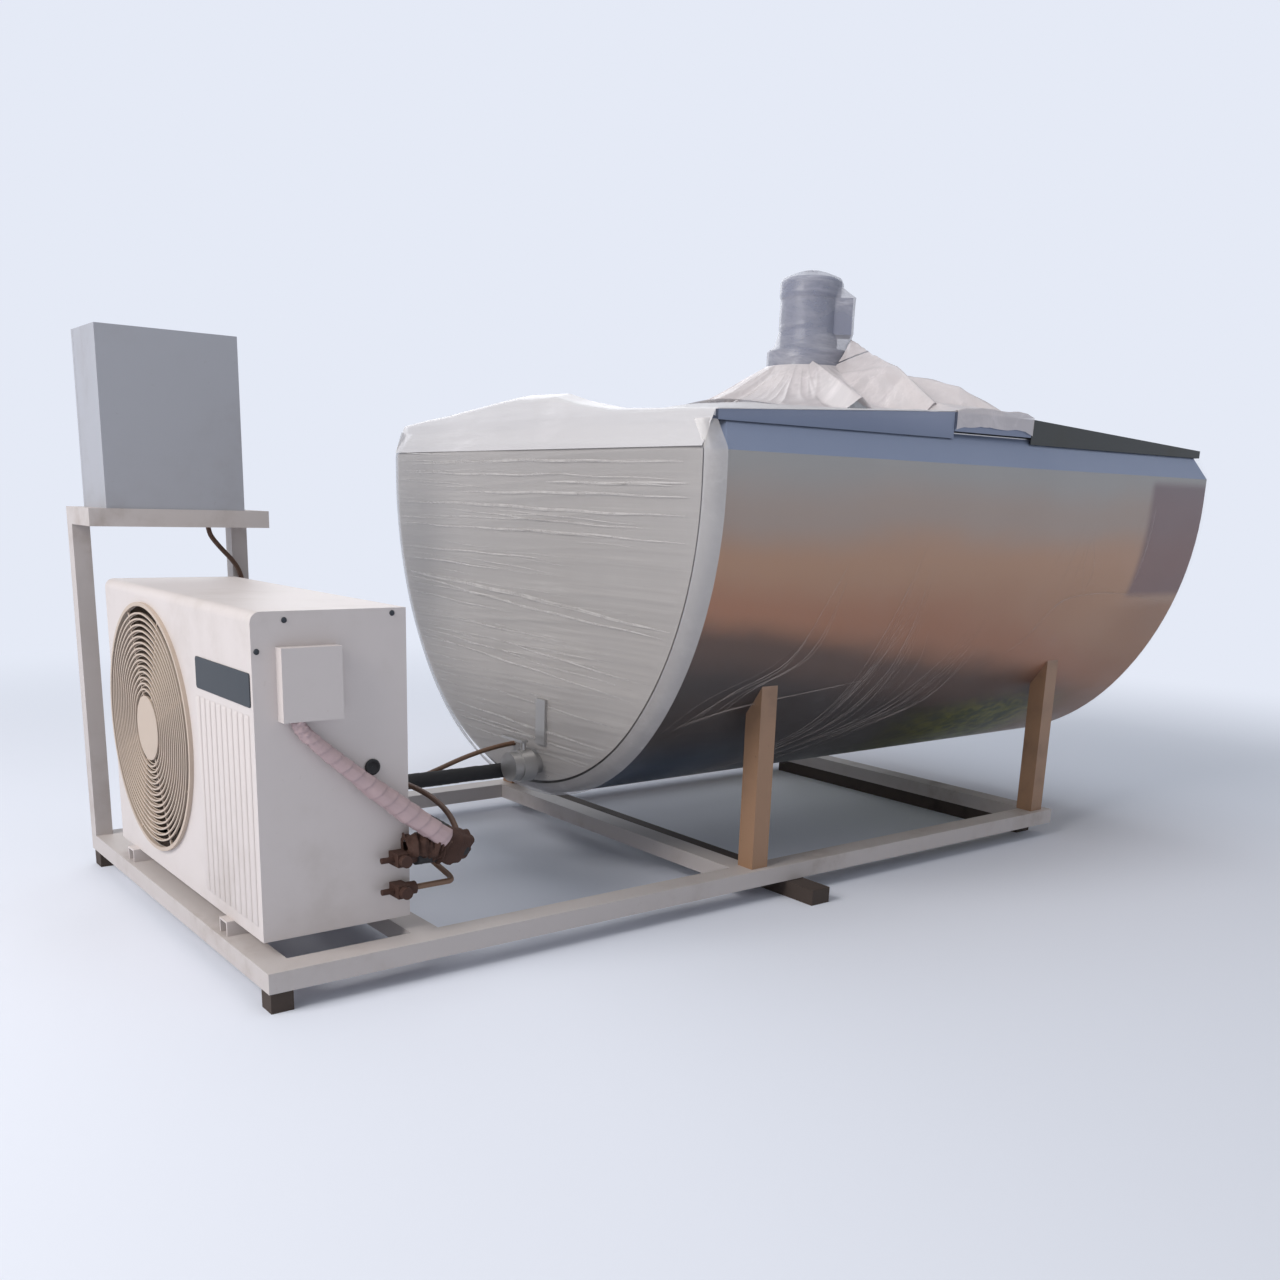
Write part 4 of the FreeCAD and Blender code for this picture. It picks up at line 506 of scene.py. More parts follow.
RED = painted("red_plastic", (0.5, 0.03, 0.025), (0.2, 0.02, 0.02), 0.2, 9.0, 0.3)
GREEN = painted("green_plastic", (0.04, 0.32, 0.09), (0.02, 0.12, 0.04), 0.2, 9.0, 0.3)
RUST = painted("rusty_wrap", (0.05, 0.02, 0.012), (0.16, 0.06, 0.03), 1.0, 26.0, 0.8, 0.8)
SLATE = painted("slate_plate", (0.014, 0.02, 0.028), (0.06, 0.065, 0.07), 0.4, 20.0, 0.45)
CABLE = painted("brown_cable", (0.1, 0.05, 0.03), (0.03, 0.02, 0.015), 0.7, 16.0, 0.6)
COPPER = painted("copper_pipe", (0.18, 0.1, 0.06), (0.04, 0.03, 0.025), 0.6, 16.0, 0.45)
FINS = painted("coil_fins", (0.4, 0.34, 0.29), (0.1, 0.09, 0.08), 0.5, 20.0, 0.5)
FOAM = painted("foam", (0.6, 0.5, 0.25), (0.4, 0.3, 0.15), 0.4)
TAPE = painted("pink_tape", (0.46, 0.34, 0.35), (0.3, 0.2, 0.17), 0.5, 12.0, 0.45)
FILM = film_material("wrap_film", (1.2, 1.2, 16.0), 0.0, 0.5, 0.16, 0.85)

FINISHES = {
    STEEL: ("outer_jacket",),
    END_STEEL: ("end_panels",),
    SHOULDER_STEEL: ("shoulder_ring",),
    LID_STEEL: ("front_lid", "agitator_bridge"),
    DARK_REFLECTION_LID: ("rear_lid",),
    PLAIN_STEEL: ("inner_vessel", "evaporator_plate", "front_lid_handle", "rear_lid_handle", "lid_hinge_pins",
                  "agitator_shaft", "agitator_paddle", "outlet_valve", "outlet_cap", "outlet_handle",
                  "temperature_probe", "door_hinge_pins", "door_lock"),
    TUBE_PAINT: ("long_rails", "cross_rails", "control_stand"),
    LEG_PAINTED_REFLECTION: ("tank_legs",),
    BLOCK: ("ground_supports",),
    CREAM: ("unit_front_panel", "unit_side_panel", "unit_top_cover", "unit_base_pan", "terminal_cover"),
    GREY_PAINT: ("control_box_shell", "control_box_door", "switchgear"),
    FOAM: ("insulation",),
    RUBBER: ("rim_gasket", "refrigerant_lines", "control_cable"),
    GRILLE: ("fan_grille",),
    FAN_PLASTIC: ("fan_propeller",),
    BLACK: ("compressor", "temperature_controller", "main_switch_knob", "switch_holders",
            "cable_gland", "shaft_bush"),
    RED: ("stop_button",),
    GREEN: ("start_button", "pilot_lamps"),
    RUST: ("service_valves",),
    FINS: ("condenser_coil", "fan_motor", "fan_motor_bracket", "partition_plate"),
    DRIVE_PAINT: ("agitator_motor", "gearbox", "motor_fan_cowl", "motor_terminal_box", "motor_pedestal"),
    TAPE: ("taped_bundle",),
    FILM: ("front_tent_film", "rear_tent_film"),
}


def add_floor():
    """A plain pale floor that fades into the background away from the machine."""
    mesh = bpy.data.meshes.new("floor")
    reach = 30.0
    mesh.from_pydata([(-reach, -reach, 0), (reach, -reach, 0), (reach, reach, 0), (-reach, reach, 0)],
                     [], [(0, 1, 2, 3)])
    floor = bpy.data.objects.new("floor", mesh)
    bpy.context.scene.collection.objects.link(floor)
    material, tree, bsdf = shader("floor", base_color=PALE, roughness=0.9)
    bsdf.inputs["Specular IOR Level"].default_value = 0.1
    out = [n for n in tree.nodes if n.type == "OUTPUT_MATERIAL"][0]
    glow = tree.nodes.new("ShaderNodeEmission")
    glow.inputs["Color"].default_value = (*PALE, 1)
    length = tree.nodes.new("ShaderNodeVectorMath")
    length.operation = "LENGTH"
    wire(tree, tree.nodes.new("ShaderNodeTexCoord").outputs["Object"], length.inputs[0])
    mix = tree.nodes.new("ShaderNodeMixShader")
    wire(tree, between(tree, length.outputs["Value"], 2.2, 5.0), mix.inputs["Fac"])
    wire(tree, bsdf.outputs[0], mix.inputs[1])
    wire(tree, glow.outputs[0], mix.inputs[2])
    wire(tree, mix.outputs[0], out.inputs["Surface"])
    mesh.materials.append(material)


def grid_mesh(name, rows, closed=False):
    """A mesh of quads through rows of points; closed joins each row's ends."""
    mesh = bpy.data.meshes.new(name)
    across = len(rows[0])
    points = [point for row in rows for point in row]
    faces = []
    for i in range(len(rows) - 1):
        for j in range(across if closed else across - 1):
            k = (j + 1) % across
            faces.append((i * across + j, i * across + k, (i + 1) * across + k, (i + 1) * across + j))
    mesh.from_pydata(points, [], faces)
    mesh.shade_smooth()
    return mesh


def add_piece(name, mesh, body, *materials):
    """A piece of the scene that moves with a body."""
    thing = bpy.data.objects.new(name, mesh)
    bpy.context.scene.collection.objects.link(thing)
    for material in materials:
        thing.data.materials.append(material)
    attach(thing, body)
    return thing


def join_meshes(name, meshes):
    """Several meshes as one, each with its own material slot."""
    whole = bmesh.new()
    for number, mesh in enumerate(meshes):
        first = len(whole.faces)
        whole.from_mesh(mesh)
        whole.faces.ensure_lookup_table()
        for face in whole.faces[first:]:
            face.material_index = number
    mesh = bpy.data.meshes.new(name)
    whole.to_mesh(mesh)
    whole.free()
    mesh.shade_smooth()
    return mesh


def ripple(place, scale, seed):
    """Soft noise from -1 to 1 at a place, stretched by a scale for each axis."""
    stretched = Vector([along * factor for along, factor in zip(place, scale)])
    return noise.noise(stretched + Vector((seed, 0, 0)))


def fold(place, scale, seed):
    """Sharp-crested noise from 0 to 1, like the creases of pulled film."""
    off_crest = abs(ripple(place, scale, seed))
    return (1 - off_crest * 2.2) ** 3 if off_crest < 0.45 else 0


# The tank's section as a path from the -Y rim round the belly to the +Y rim
FILM_TOP = FRONT_LID_LOW.z - 3 * MM
SHOULDER_RUN, SHOULDER_RISE = 44, 70
SHOULDER_SLOPE = SHOULDER_RUN / SHOULDER_RISE
BEVEL = JACKET_LOW.x - PANEL_LOW.x


def section_path(inset, count):
    """Evenly spaced (y, z, normal y, normal z) round the U section, inset by a distance."""
    half = HALF_TANK - inset
    side = SIDE_RADIUS - inset
    belly = BELLY_RADIUS - inset
    points = []
    lean = Vector((-1, SHOULDER_SLOPE)).normalized()
    for k in range(12):
        z = FILM_TOP + (SHOULDER - FILM_TOP) * k / 12
        points.append((-(half - (z - SHOULDER) * SHOULDER_SLOPE), z, lean.x, lean.y))
    for k in range(8):
        points.append((-half, SHOULDER + (SPRING - SHOULDER) * k / 8, -1, 0))
    turn = math.atan2(CENTRE_DROP, PAST_MIDDLE)
    for k in range(60):
        angle = turn * k / 60
        points.append((PAST_MIDDLE - side * math.cos(angle), SPRING - side * math.sin(angle),
                       -math.cos(angle), -math.sin(angle)))
    for k in range(51):
        angle = turn + (math.pi / 2 - turn) * k / 50
        points.append((-belly * math.cos(angle), BELLY_CENTRE - belly * math.sin(angle),
                       -math.cos(angle), -math.sin(angle)))
    whole = points + [(-y, z, -ny, nz) for y, z, ny, nz in reversed(points[:-1])]
    lengths = [0]
    for before, after in zip(whole, whole[1:]):
        lengths.append(lengths[-1] + math.dist(before[:2], after[:2]))
    even = []
    j = 0
    for k in range(count + 1):
        want = lengths[-1] * k / count
        while j < len(lengths) - 2 and lengths[j + 1] < want:
            j += 1
        share = (want - lengths[j]) / (lengths[j + 1] - lengths[j])
        even.append(tuple(u + (v - u) * share for u, v in zip(whole[j], whole[j + 1])))
    return even


def side_film():
    """Film round the tank's sides and belly, slack in long slanting creases."""
    rows = []
    steps = 230
    around = 300
    start, end = PANEL_LOW.x, PANEL_HIGH.x
    for i in range(steps + 1):
        x = start + (end - start) * i / steps
        inset = max(BEVEL - (x - start), BEVEL - (end - x), 0)
        row = []
        for y, z, ny, nz in section_path(inset, around):
            low = min(max((SPRING - z) / 0.75, 0), 1)
            slant = Vector((x + z * 0.9, y * 0.4, z - x * 0.55))
            creases = fold(slant, (1.1, 1.0, 5.5), 3.1)
            upright = fold(Vector((x, y, z)), (7, 1, 0.8), 21.0)
            lift = 0.003 + 0.0022 * creases * low + 0.0006 * upright * (1 - low)
            lift += 0.0015 * max(ripple((x, y, z), (2.5, 2.5, 2.5), 5.0), 0)
            row.append((x, y + ny * lift, z + nz * lift))
        rows.append(row)
    return grid_mesh("side_film", rows)


def half_width(z, inset):
    """The half-width of the U section at a height."""
    if z >= SHOULDER:
        return HALF_TANK - inset - (z - SHOULDER) * SHOULDER_SLOPE
    if z >= SPRING:
        return HALF_TANK - inset
    meet = BELLY_CENTRE - (BELLY_RADIUS - inset) * CENTRE_DROP / (SIDE_RADIUS - BELLY_RADIUS)
    if z >= meet:
        return math.sqrt((SIDE_RADIUS - inset) ** 2 - (SPRING - z) ** 2) - PAST_MIDDLE
    return math.sqrt(max((BELLY_RADIUS - inset) ** 2 - (BELLY_CENTRE - z) ** 2, 0))


def end_film(face_x, outward):
    """Film over one flat end, pulled into level creases."""
    low = TANK_LOW + BEVEL
    count = 260
    across = 110
    rows = []
    for i in range(count + 1):
        z = low + (FILM_TOP - low) * (i / count) ** 1.02
        wide = half_width(z, BEVEL if z < SHOULDER else BEVEL * (1 - (z - SHOULDER) / (RIM - SHOULDER) / 2))
        row = []
        for j in range(across + 1):
            y = wide * (2 * j / across - 1)
            level = (0.0, y, z + 0.02 * math.sin(y * 3))
            creases = fold(level, (0, 0.35, 17), 1.7) + 0.6 * fold(level, (0, 0.6, 38), 7.7)
            edge = min(1, (1 - abs(2 * j / across - 1)) * 12)
            lift = 0.003 + edge * (0.0018 * creases + 0.004 * max(ripple(level, (0, 2.0, 2.4), 2.2), 0))
            slope = max(z - SHOULDER, 0) * SHOULDER_SLOPE
            row.append((face_x + outward * (lift - slope), y, z))
        rows.append(row)
    return grid_mesh("end_film", rows)


def wrap_tank():
    mesh = join_meshes("tank_wrap", [side_film(), end_film(PANEL_LOW.x, -1), end_film(PANEL_HIGH.x, 1)])
    add_piece("tank_wrap", mesh, "root", SIDE_FILM, END_FILM, END_FILM)


def along_points(points, place):
    """The value at a place, by straight lines between (place, value) points."""
    if place <= points[0][0]:
        return points[0][1]
    for (x0, v0), (x1, v1) in zip(points, points[1:]):
        if place <= x1:
            return v0 + (v1 - v0) * (place - x0) / (x1 - x0)
    return points[-1][1]


LID_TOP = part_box("front_tent_film")[0].z - 0.3 * MM
LID_FALL = 40 * MM
# The film's rise over the handle as (y, rise), in part picked on the photograph and placed by the
# fitted camera
HANDLE_HUMP = ((-0.66, 0.0), (-0.55, 0.004), (-0.42, 0.008), (-0.289, 0.013), (-0.154, 0.034), (-0.07, 0.052),
               (0.09, 0.056), (0.22, 0.045), (0.392, 0.025), (0.55, 0.010), (0.66, 0.0))
TENT_START = 0.10
HINGE_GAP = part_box("rear_tent_film")[1].x - 0.491
TENT_RISE = 0.042


def lid_film():
    """Film over the front lid: a hump on the handle, a swell to the tent, a band down to the shoulder."""
    count = 200
    across = 260
    low, high = FRONT_LID_LOW, FRONT_LID_HIGH
    hinge_x = HINGE_GAP - 0.002
    handle_low, handle_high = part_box("front_lid_handle")
    handle_x = (handle_low.x + handle_high.x) / 2
    half = high.y + 0.001
    long = hinge_x - low.x
    band = LID_TOP - LID_FALL - SHOULDER - 0.006
    skirt = LID_TOP - LID_FALL - low.z - 0.002
    reach_out = low.x - PANEL_LOW.x
    rows = []
    for i in range(count + 1):
        run = (long + band) * i / count
        over = max(run - long, 0)
        x = hinge_x - min(run, long)
        plate = LID_TOP - LID_FALL * min(run, long) / long
        away = x - handle_x
        reach = max(1 - away / 0.28, 0) ** 2 if away > 0 else 1 + away * 4
        swell = TENT_RISE * math.exp(-((x - TENT_START) / (0.2 if x < TENT_START else 0.05)) ** 2)
        row = []
        for j in range(across + 1):
            over_run = (half + skirt) * (2 * j / across - 1)
            y = max(-half, min(half, over_run))
            down = max(abs(over_run) - half, 0)
            edge = min(1, (half - abs(y)) / 0.05)
            creases = 0.003 * fold((x, y, 0), (3, 1.2, 1), 4.4)
            puff = 0.003 + edge * (creases + 0.002 * ripple((x, y, 0), (7, 7, 1), 6.1))
            rise = puff + along_points(HANDLE_HUMP, y) * reach + swell * math.exp(-(y / 0.4) ** 2) * edge
            z = plate + rise
            if over > 0:
                share = over / band
                z = z + (SHOULDER + 0.006 - z) * share
                bulge = 0.003 + 0.002 * fold((0, y, z), (0, 1.2, 30), 5.5)
                top = plate + rise - down * (1 - share)
                row.append((low.x - 0.004 - reach_out * share - bulge, y, min(z, top)))
            else:
                out = 0.002 + 0.002 * fold((x, 0, z), (1.5, 0, 8), 8.8) if down > 0 else 0
                row.append((x, y + math.copysign(out, y), z - down))
        rows.append(row)
    mesh = grid_mesh("front_lid_film", rows)
    for number, face in enumerate(mesh.polygons):
        strip = abs((half + skirt) * (2 * (number % across + 0.5) / across - 1))
        band_row = number // across >= count * long / (long + band)
        face.material_index = 1 if strip > half and not band_row else 0
    add_piece("front_lid_film", mesh, "front_lid", LID_FILM, SIDE_FILM)


NECK = 0.116
TENT_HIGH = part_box("front_tent_film")[1]
# Where the film is drawn up into taut ridges, as (x, y, z), in part picked on the photograph
# and placed by the fitted camera
RIDGES = (
    ((0.505, -0.075, 1.385), (0.32, -0.45, 1.25), (0.29, -0.585, 1.175)),
    ((0.47, -0.10, 1.31), (0.54, -0.45, 1.237), (0.58, -0.585, 1.165)),
    ((0.54, -0.45, 1.237), (0.68, -0.45, 1.185), (0.755, -0.42, 1.176)),
    ((0.344, 0.0, 1.316), (0.253, 0.0, 1.269), (0.182, 0.0, 1.231), (0.102, 0.0, 1.196)),
    ((0.36, -0.09, 1.31), (0.13, -0.52, 1.168)),
    ((0.49, 0.10, 1.32), (0.47, 0.45, 1.215), (0.46, 0.585, 1.17)),
    ((0.53, 0.03, 1.32), (0.755, 0.1, 1.19)),
)


def ridge_height(x, y):
    """The height of the film where the nearest taut ridge holds it up."""
    best = 0
    for ridge in RIDGES:
        for start, end in zip(ridge, ridge[1:]):
            a, b = Vector(start), Vector(end)
            run = Vector((b.x - a.x, b.y - a.y))
            share = max(0, min(1, (Vector((x - a.x, y - a.y)).dot(run)) / run.length_squared))
            on = a.lerp(b, share)
            gap = math.hypot(x - on.x, y - on.y)
            best = max(best, on.z - 1.15 * gap)
    return best


def tent_film(name, side, node_name):
    """Half of the film tent between the drive and a lid, drawn up in ridges and pleated between them."""
    low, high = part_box(node_name)
    reach_x = (high.x - low.x) + 0.002
    reach_y = high.y
    count = 90
    around = 300
    rows = []
    for i in range(count + 1):
        k = i / count
        row = []
        for j in range(around + 1):
            angle = math.pi * (j / around - 0.5)
            cos, sin = math.cos(angle), math.sin(angle)
            foot = 1 / ((abs(cos) / reach_x) ** 3 + (abs(sin) / reach_y) ** 3) ** (1 / 3)
            radius = NECK + (foot - NECK) * k
            x, y = DRIVE.x + side * (0.002 + cos * radius), sin * radius
            swell = 4 * k * (1 - k)
            z = low.z + 0.003 + (high.z - low.z - 0.003) * (1 - k) ** 1.7
            z += k * TENT_RISE * max(cos, 0) ** 2 * math.exp(-(y / 0.4) ** 2) * (1 if side < 0 else 0.4)
            z = max(z, ridge_height(x, y))
            pleats = fold((angle * 1.2, k * 0.35, 0), (3.2, 1, 1), 7.1)
            pleats += 0.6 * fold((angle * 2.4, k * 0.8, 0), (3, 1, 1), 2.9)
            z += swell * (0.006 * pleats + 0.007 * ripple((x, y, 0), (7, 7, 1), 3.3))
            row.append((x, y, max(z, low.z + 0.002)))
        rows.append(row)
    piece = add_piece(name, grid_mesh(name, rows), "root", TENT_FILM)
    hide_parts(node_name)
    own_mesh(piece)
    return piece


def bridge_film():
    """Film over the bridge's two ends, standing up in loose folds at the near end."""
    low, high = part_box("agitator_bridge")
    start, end = HINGE_GAP + 0.002, HINGE_GAP + 0.302
    half = high.y + 0.002
    skirt = LID_TOP - low.z
    count = 80
    across = 360
    rows = []
    for i in range(count + 1):
        x = start + (end - start) * i / count
        inner = min(1, min(x - start, end - x) / 0.03)
        row = []
        for j in range(across + 1):
            run = (half + skirt) * (2 * j / across - 1)
            y = max(-half, min(half, run))
            down = max(abs(run) - half, 0)
            near = math.exp(-((y + 0.52) / 0.16) ** 2)
            z = LID_TOP + 0.004 + inner * (near * 0.012 * (1 + fold((x, y, 0), (9, 3, 1), 6.6))
                                           + 0.018 * math.exp(-((abs(y) - 0.4) / 0.06) ** 2))
            z += 0.002 * ripple((x, y, 0), (12, 12, 1), 1.4)
            out = 0.002 + 0.001 * fold((x, 0, down), (9, 1, 6), 4.8) if down > 0 else 0
            row.append((x, y + math.copysign(out, y), z - down))
        rows.append(row)
    add_piece("bridge_film", grid_mesh("bridge_film", rows), "root", TENT_FILM)


TERMINAL_TURN = math.radians(-45)


def drive_film():
    """Film wound round the gearbox, the motor and its terminal box, drawn shut over the domed cowl."""
    count = 150
    around = 260
    bottom, top = TENT_HIGH.z - 0.012, COWL_HIGH.z + 0.004
    box_low, box_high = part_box("motor_terminal_box")
    half_box = 0.045
    reach = 0.114
    profile = ((bottom, 0.112), (GEARBOX_HIGH.z - 0.004, 0.111), (GEARBOX_HIGH.z + 0.012, 0.092),
               (MOTOR_LOW.z + 0.05, 0.082), (MOTOR_HIGH.z, 0.082), (COWL_LOW.z + 0.01, 0.085),
               (top - 0.02, 0.085), (top - 0.006, 0.078), (top, 0.066))
    rows = []
    for i in range(count + 1):
        k = i / count
        z = bottom + (top - bottom) * min(k / 0.9, 1)
        row = []
        for j in range(around):
            angle = 2 * math.pi * j / around
            cos, sin = math.cos(angle), math.sin(angle)
            radius = along_points(profile, z)
            off = angle - TERMINAL_TURN
            ahead, aside = math.cos(off), abs(math.sin(off))
            if ahead > 0 and box_low.z - 0.06 < z < box_high.z + 0.03:
                ramp = min((z - box_low.z + 0.06) / 0.06, (box_high.z + 0.03 - z) / 0.03, 1)
                wing = min((reach + 0.004) / ahead, (half_box + 0.006) / max(aside, 0.001))
                radius = max(radius, radius + (wing - radius) * ramp)
            radius += 0.002 + 0.0009 * fold((cos * 0.25, sin * 0.25, z), (2, 2, 20), 12.0)
            radius += 0.0015 * ripple((cos, sin, z * 12), (3, 3, 1), 2.0)
            closing = max(k - 0.9, 0) / 0.1
            radius *= 1 - closing
            rise = 0.016 * math.sin(closing * math.pi / 2) + 0.002 * closing * math.sin(angle * 9)
            row.append((DRIVE.x + cos * radius, DRIVE.y + sin * radius, z + rise))
        rows.append(row)
    add_piece("drive_wrap", grid_mesh("drive_wrap", rows, closed=True), "root", WOUND_FILM)


# Creases of the film on the tank's long sides, in fans: a curve of (x, z), copies and spread.
# The curves are points picked on the photograph and put on the side by the fitted camera.
FANS = (
    (((-0.15, 0.25), (0.098, 0.382), (0.183, 0.519), (0.2, 0.623), (0.207, 0.74), (0.213, 0.858)), 22, 0.24),
    (((-0.46, 0.34), (-0.326, 0.496), (-0.165, 0.585), (-0.107, 0.724), (-0.075, 0.813)), 9, 0.14),
    (((0.02, 0.26), (0.2, 0.36), (0.347, 0.441), (0.458, 0.577), (0.502, 0.682)), 16, 0.24),
    (((0.55, 0.52), (0.694, 0.584), (0.786, 0.693), (0.925, 0.717), (1.1, 0.712), (1.373, 0.677)), 3, 0.02),
    (((1.108, 0.713), (1.118, 0.86), (1.126, 1.005)), 3, 0.012),
    (((-0.47, 0.42), (-0.3, 0.47), (-0.05, 0.5), (0.15, 0.52)), 7, 0.12),
    (((0.75, 0.62), (0.79, 0.78), (0.82, 0.95)), 5, 0.3),
)


def side_point(x, z, side, lift):
    """A point on the tank's long side, lifted off it, and the direction of the lift."""
    y = half_width(z, 0)
    slope = (half_width(z + 0.004, 0) - half_width(z - 0.004, 0)) / 0.008
    out = Vector((0, 1, -slope)).normalized()
    return Vector((x, side * (y + out.y * lift), z + out.z * lift))


def ribbon(points, wide, into):
    """A flat strip through points, tapered to both ends, added to a list of vertices and faces."""
    vertices, faces = into
    first = len(vertices)
    last = len(points) - 1
    for number, (place, across) in enumerate(points):
        half = wide / 2 * (math.sin(math.pi * (0.04 + 0.92 * number / last))) ** 0.7
        vertices.append(tuple(place - across * half))
        vertices.append(tuple(place + across * half))
    for number in range(last):
        k = first + number * 2
        faces.append((k, k + 1, k + 3, k + 2))


def bend_points(points, count):
    """Evenly shared points on a smooth curve through the given (x, z) points."""
    out = []
    for number in range(count + 1):
        place = (len(points) - 1) * number / count
        k = min(int(place), len(points) - 2)
        f = place - k
        a = points[max(k - 1, 0)]
        b, c = points[k], points[k + 1]
        d = points[min(k + 2, len(points) - 1)]
        out.append(tuple(0.5 * (2 * q + (r - p) * f + (2 * p - 5 * q + 4 * r - s) * f * f
                                + (3 * q - p - 3 * r + s) * f ** 3) for p, q, r, s in zip(a, b, c, d)))
    return out


def side_creases():
    """Fine bright creases, fanned as the film was pulled round the belly, on both long sides."""
    draw = random.Random(7)
    vertices, faces = [], []
    steps = 34
    for side in (-1, 1):
        for points, copies, spread in FANS:
            for _ in range(copies):
                shift = draw.uniform(-0.5, 0.5) * spread
                bow = draw.uniform(-0.4, 0.4) * spread
                begin = draw.uniform(0, 0.35)
                stop = draw.uniform(max(begin + 0.35, 0.6), 1)
                curve = bend_points(points, steps)
                curve = curve[int(begin * steps):int(stop * steps) + 1]
                last = len(curve) - 1
                strip = []
                for number, (x, z) in enumerate(curve):
                    share = number / last
                    x += shift * (1 - 0.6 * share) + bow * math.sin(math.pi * share) * 0.5
                    z = max(z + 0.2 * shift * (1 - share), TANK_LOW + 0.02)
                    strip.append((min(max(x, PANEL_LOW.x + 0.04), PANEL_HIGH.x - 0.04), z))
                places = [side_point(x, z, side, 0.0065) for x, z in strip]
                wide = draw.choice((0.0008, 0.001, 0.0012, 0.0016, 0.0026))
                points3 = []
                for number, place in enumerate(places):
                    ahead = (places[min(number + 1, last)] - places[max(number - 1, 0)]).normalized()
                    outward = Vector((0, side, 0))
                    points3.append((place, ahead.cross(outward).normalized()))
                ribbon(points3, wide, (vertices, faces))
    mesh = bpy.data.meshes.new("side_creases")
    mesh.from_pydata(vertices, [], faces)
    add_piece("side_creases", mesh, "root", CREASE)


# The end film's level creases: (height, tilt down towards -Y, start and end across, width), in metres
END_CREASES = (
    (1.012, 0.00, -0.60, 0.55, 0.006), (0.985, 0.00, -0.2, 0.58, 0.004), (0.968, 0.00, -0.62, -0.1, 0.006),
    (0.94, 0.004, -0.62, 0.3, 0.006), (0.905, 0.004, -0.62, 0.58, 0.007), (0.875, 0.006, -0.3, 0.5, 0.003),
    (0.85, 0.006, -0.62, 0.6, 0.005), (0.785, 0.01, -0.1, 0.58, 0.004), (0.75, 0.01, 0.1, 0.56, 0.004),
    (0.69, 0.05, -0.58, 0.57, 0.010), (0.672, 0.055, -0.56, 0.57, 0.006), (0.6, 0.03, -0.2, 0.4, 0.003),
    (0.565, 0.05, -0.45, 0.1, 0.004), (0.52, 0.07, -0.45, 0.5, 0.004), (0.44, 0.05, -0.4, 0.2, 0.003),
    (0.375, 0.02, -0.38, 0.32, 0.007), (0.345, 0.02, -0.35, 0.3, 0.005), (0.32, 0.02, -0.32, 0.3, 0.004),
)


def end_creases():
    """Whitened level creases across both ends, the clear long ones placed and the rest drawn between."""
    draw = random.Random(11)
    lines = list(END_CREASES)
    for _ in range(60):
        low = draw.uniform(0.25, 1.02)
        start = draw.uniform(-0.6, 0.4)
        lines.append((low, draw.uniform(0.0, 0.05), start, start + draw.uniform(0.2, 0.9),
                      draw.choice((0.001, 0.0015, 0.002, 0.003))))
    vertices, faces = [], []
    steps = 44
    for face_x, outward in ((PANEL_LOW.x, -1), (PANEL_HIGH.x, 1)):
        for high, tilt, start, end, wide in lines:
            waver = draw.uniform(0, 6)
            points = []
            for number in range(steps + 1):
                y = start + (end - start) * number / steps
                z = high + tilt * y + 0.003 * math.sin(y * 5 + waver) + 0.001 * math.sin(y * 23 + waver)
                limit = half_width(z, BEVEL) - 0.004
                if abs(y) < limit:
                    points.append((Vector((face_x + outward * 0.009, y, z)), Vector((0, 0, 1))))
            if len(points) > 3:
                ribbon(points, wide, (vertices, faces))
    mesh = bpy.data.meshes.new("end_creases")
    mesh.from_pydata(vertices, [], faces)
    add_piece("end_creases", mesh, "root", CREASE_WHITE)


def bevel_bands():
    """Film doubled over each end's rounded edge: a smooth whitish band down the bevel."""
    meshes = []
    path = section_path(BEVEL, 200)
    full = section_path(0, 200)
    for face_x, outward in ((PANEL_LOW.x, -1), (PANEL_HIGH.x, 1)):
        rows = []
        for step in range(9):
            share = step / 8
            row = []
            for (y0, z0, ny, nz), (y1, z1, _, _) in zip(path, full):
                y, z = y0 + (y1 - y0) * share, z0 + (z1 - z0) * share
                swell = 0.006 * math.sin(math.pi * share)
                lift = 0.008 + swell + 0.001 * ripple((y, z, share), (9, 9, 2), 2.2)
                x = face_x - outward * BEVEL * share
                row.append((x + outward * lift * 0.6, y + ny * lift * 0.75, z + nz * lift * 0.75))
            rows.append(row)
        meshes.append(grid_mesh("band", rows))
    add_piece("bevel_bands", join_meshes("bevel_bands", meshes), "root", BAND_FILM, SIDE_FILM)


# The lines' routes, in metres
SUCTION_ROUTE = (
    (-1.089, -0.514, 0.238), (-1.02, -0.514, 0.238), (-0.967, -0.514, 0.238), (-0.967, -0.40, 0.248),
    (-0.967, -0.20, 0.258), (-0.967, -0.085, 0.258), (-0.967, -0.005, 0.258), (-0.887, -0.005, 0.258),
    (-0.6, -0.005, 0.258), (-0.47, -0.005, 0.258),
)
LIQUID_ROUTE = (
    (-1.089, -0.514, 0.174), (-1.03, -0.514, 0.174), (-0.999, -0.514, 0.174), (-0.999, -0.45, 0.186),
    (-0.999, -0.274, 0.218), (-0.999, -0.02, 0.227), (-0.999, 0.044, 0.228), (-0.94, 0.044, 0.231),
    (-0.819, 0.044, 0.238), (-0.584, 0.03, 0.318), (-0.47, 0.03, 0.318),
)
BUNDLE_ROUTE = (
    (-1.318, -0.507, 0.525), (-1.318, -0.507, 0.505), (-1.128, -0.523, 0.345), (-1.033, -0.543, 0.272),
)
CABLE_ROUTE = (
    (-1.033, -0.543, 0.272), (-0.9939, -0.5512, 0.242), (-0.957, -0.3912, 0.316),
    (-0.967, -0.0512, 0.312), (-0.999, 0.3687, 0.29), (-1.019, 0.49, 0.31), (-1.019, 0.5287, 0.33),
    (-1.019, 0.5287, 0.39), (-1.019, 0.5287, 0.66), (-1.019, 0.5287, 0.73), (-1.097, 0.495, 0.8),
    (-1.117, 0.485, 0.83), (-1.117, 0.485, 0.876),
)


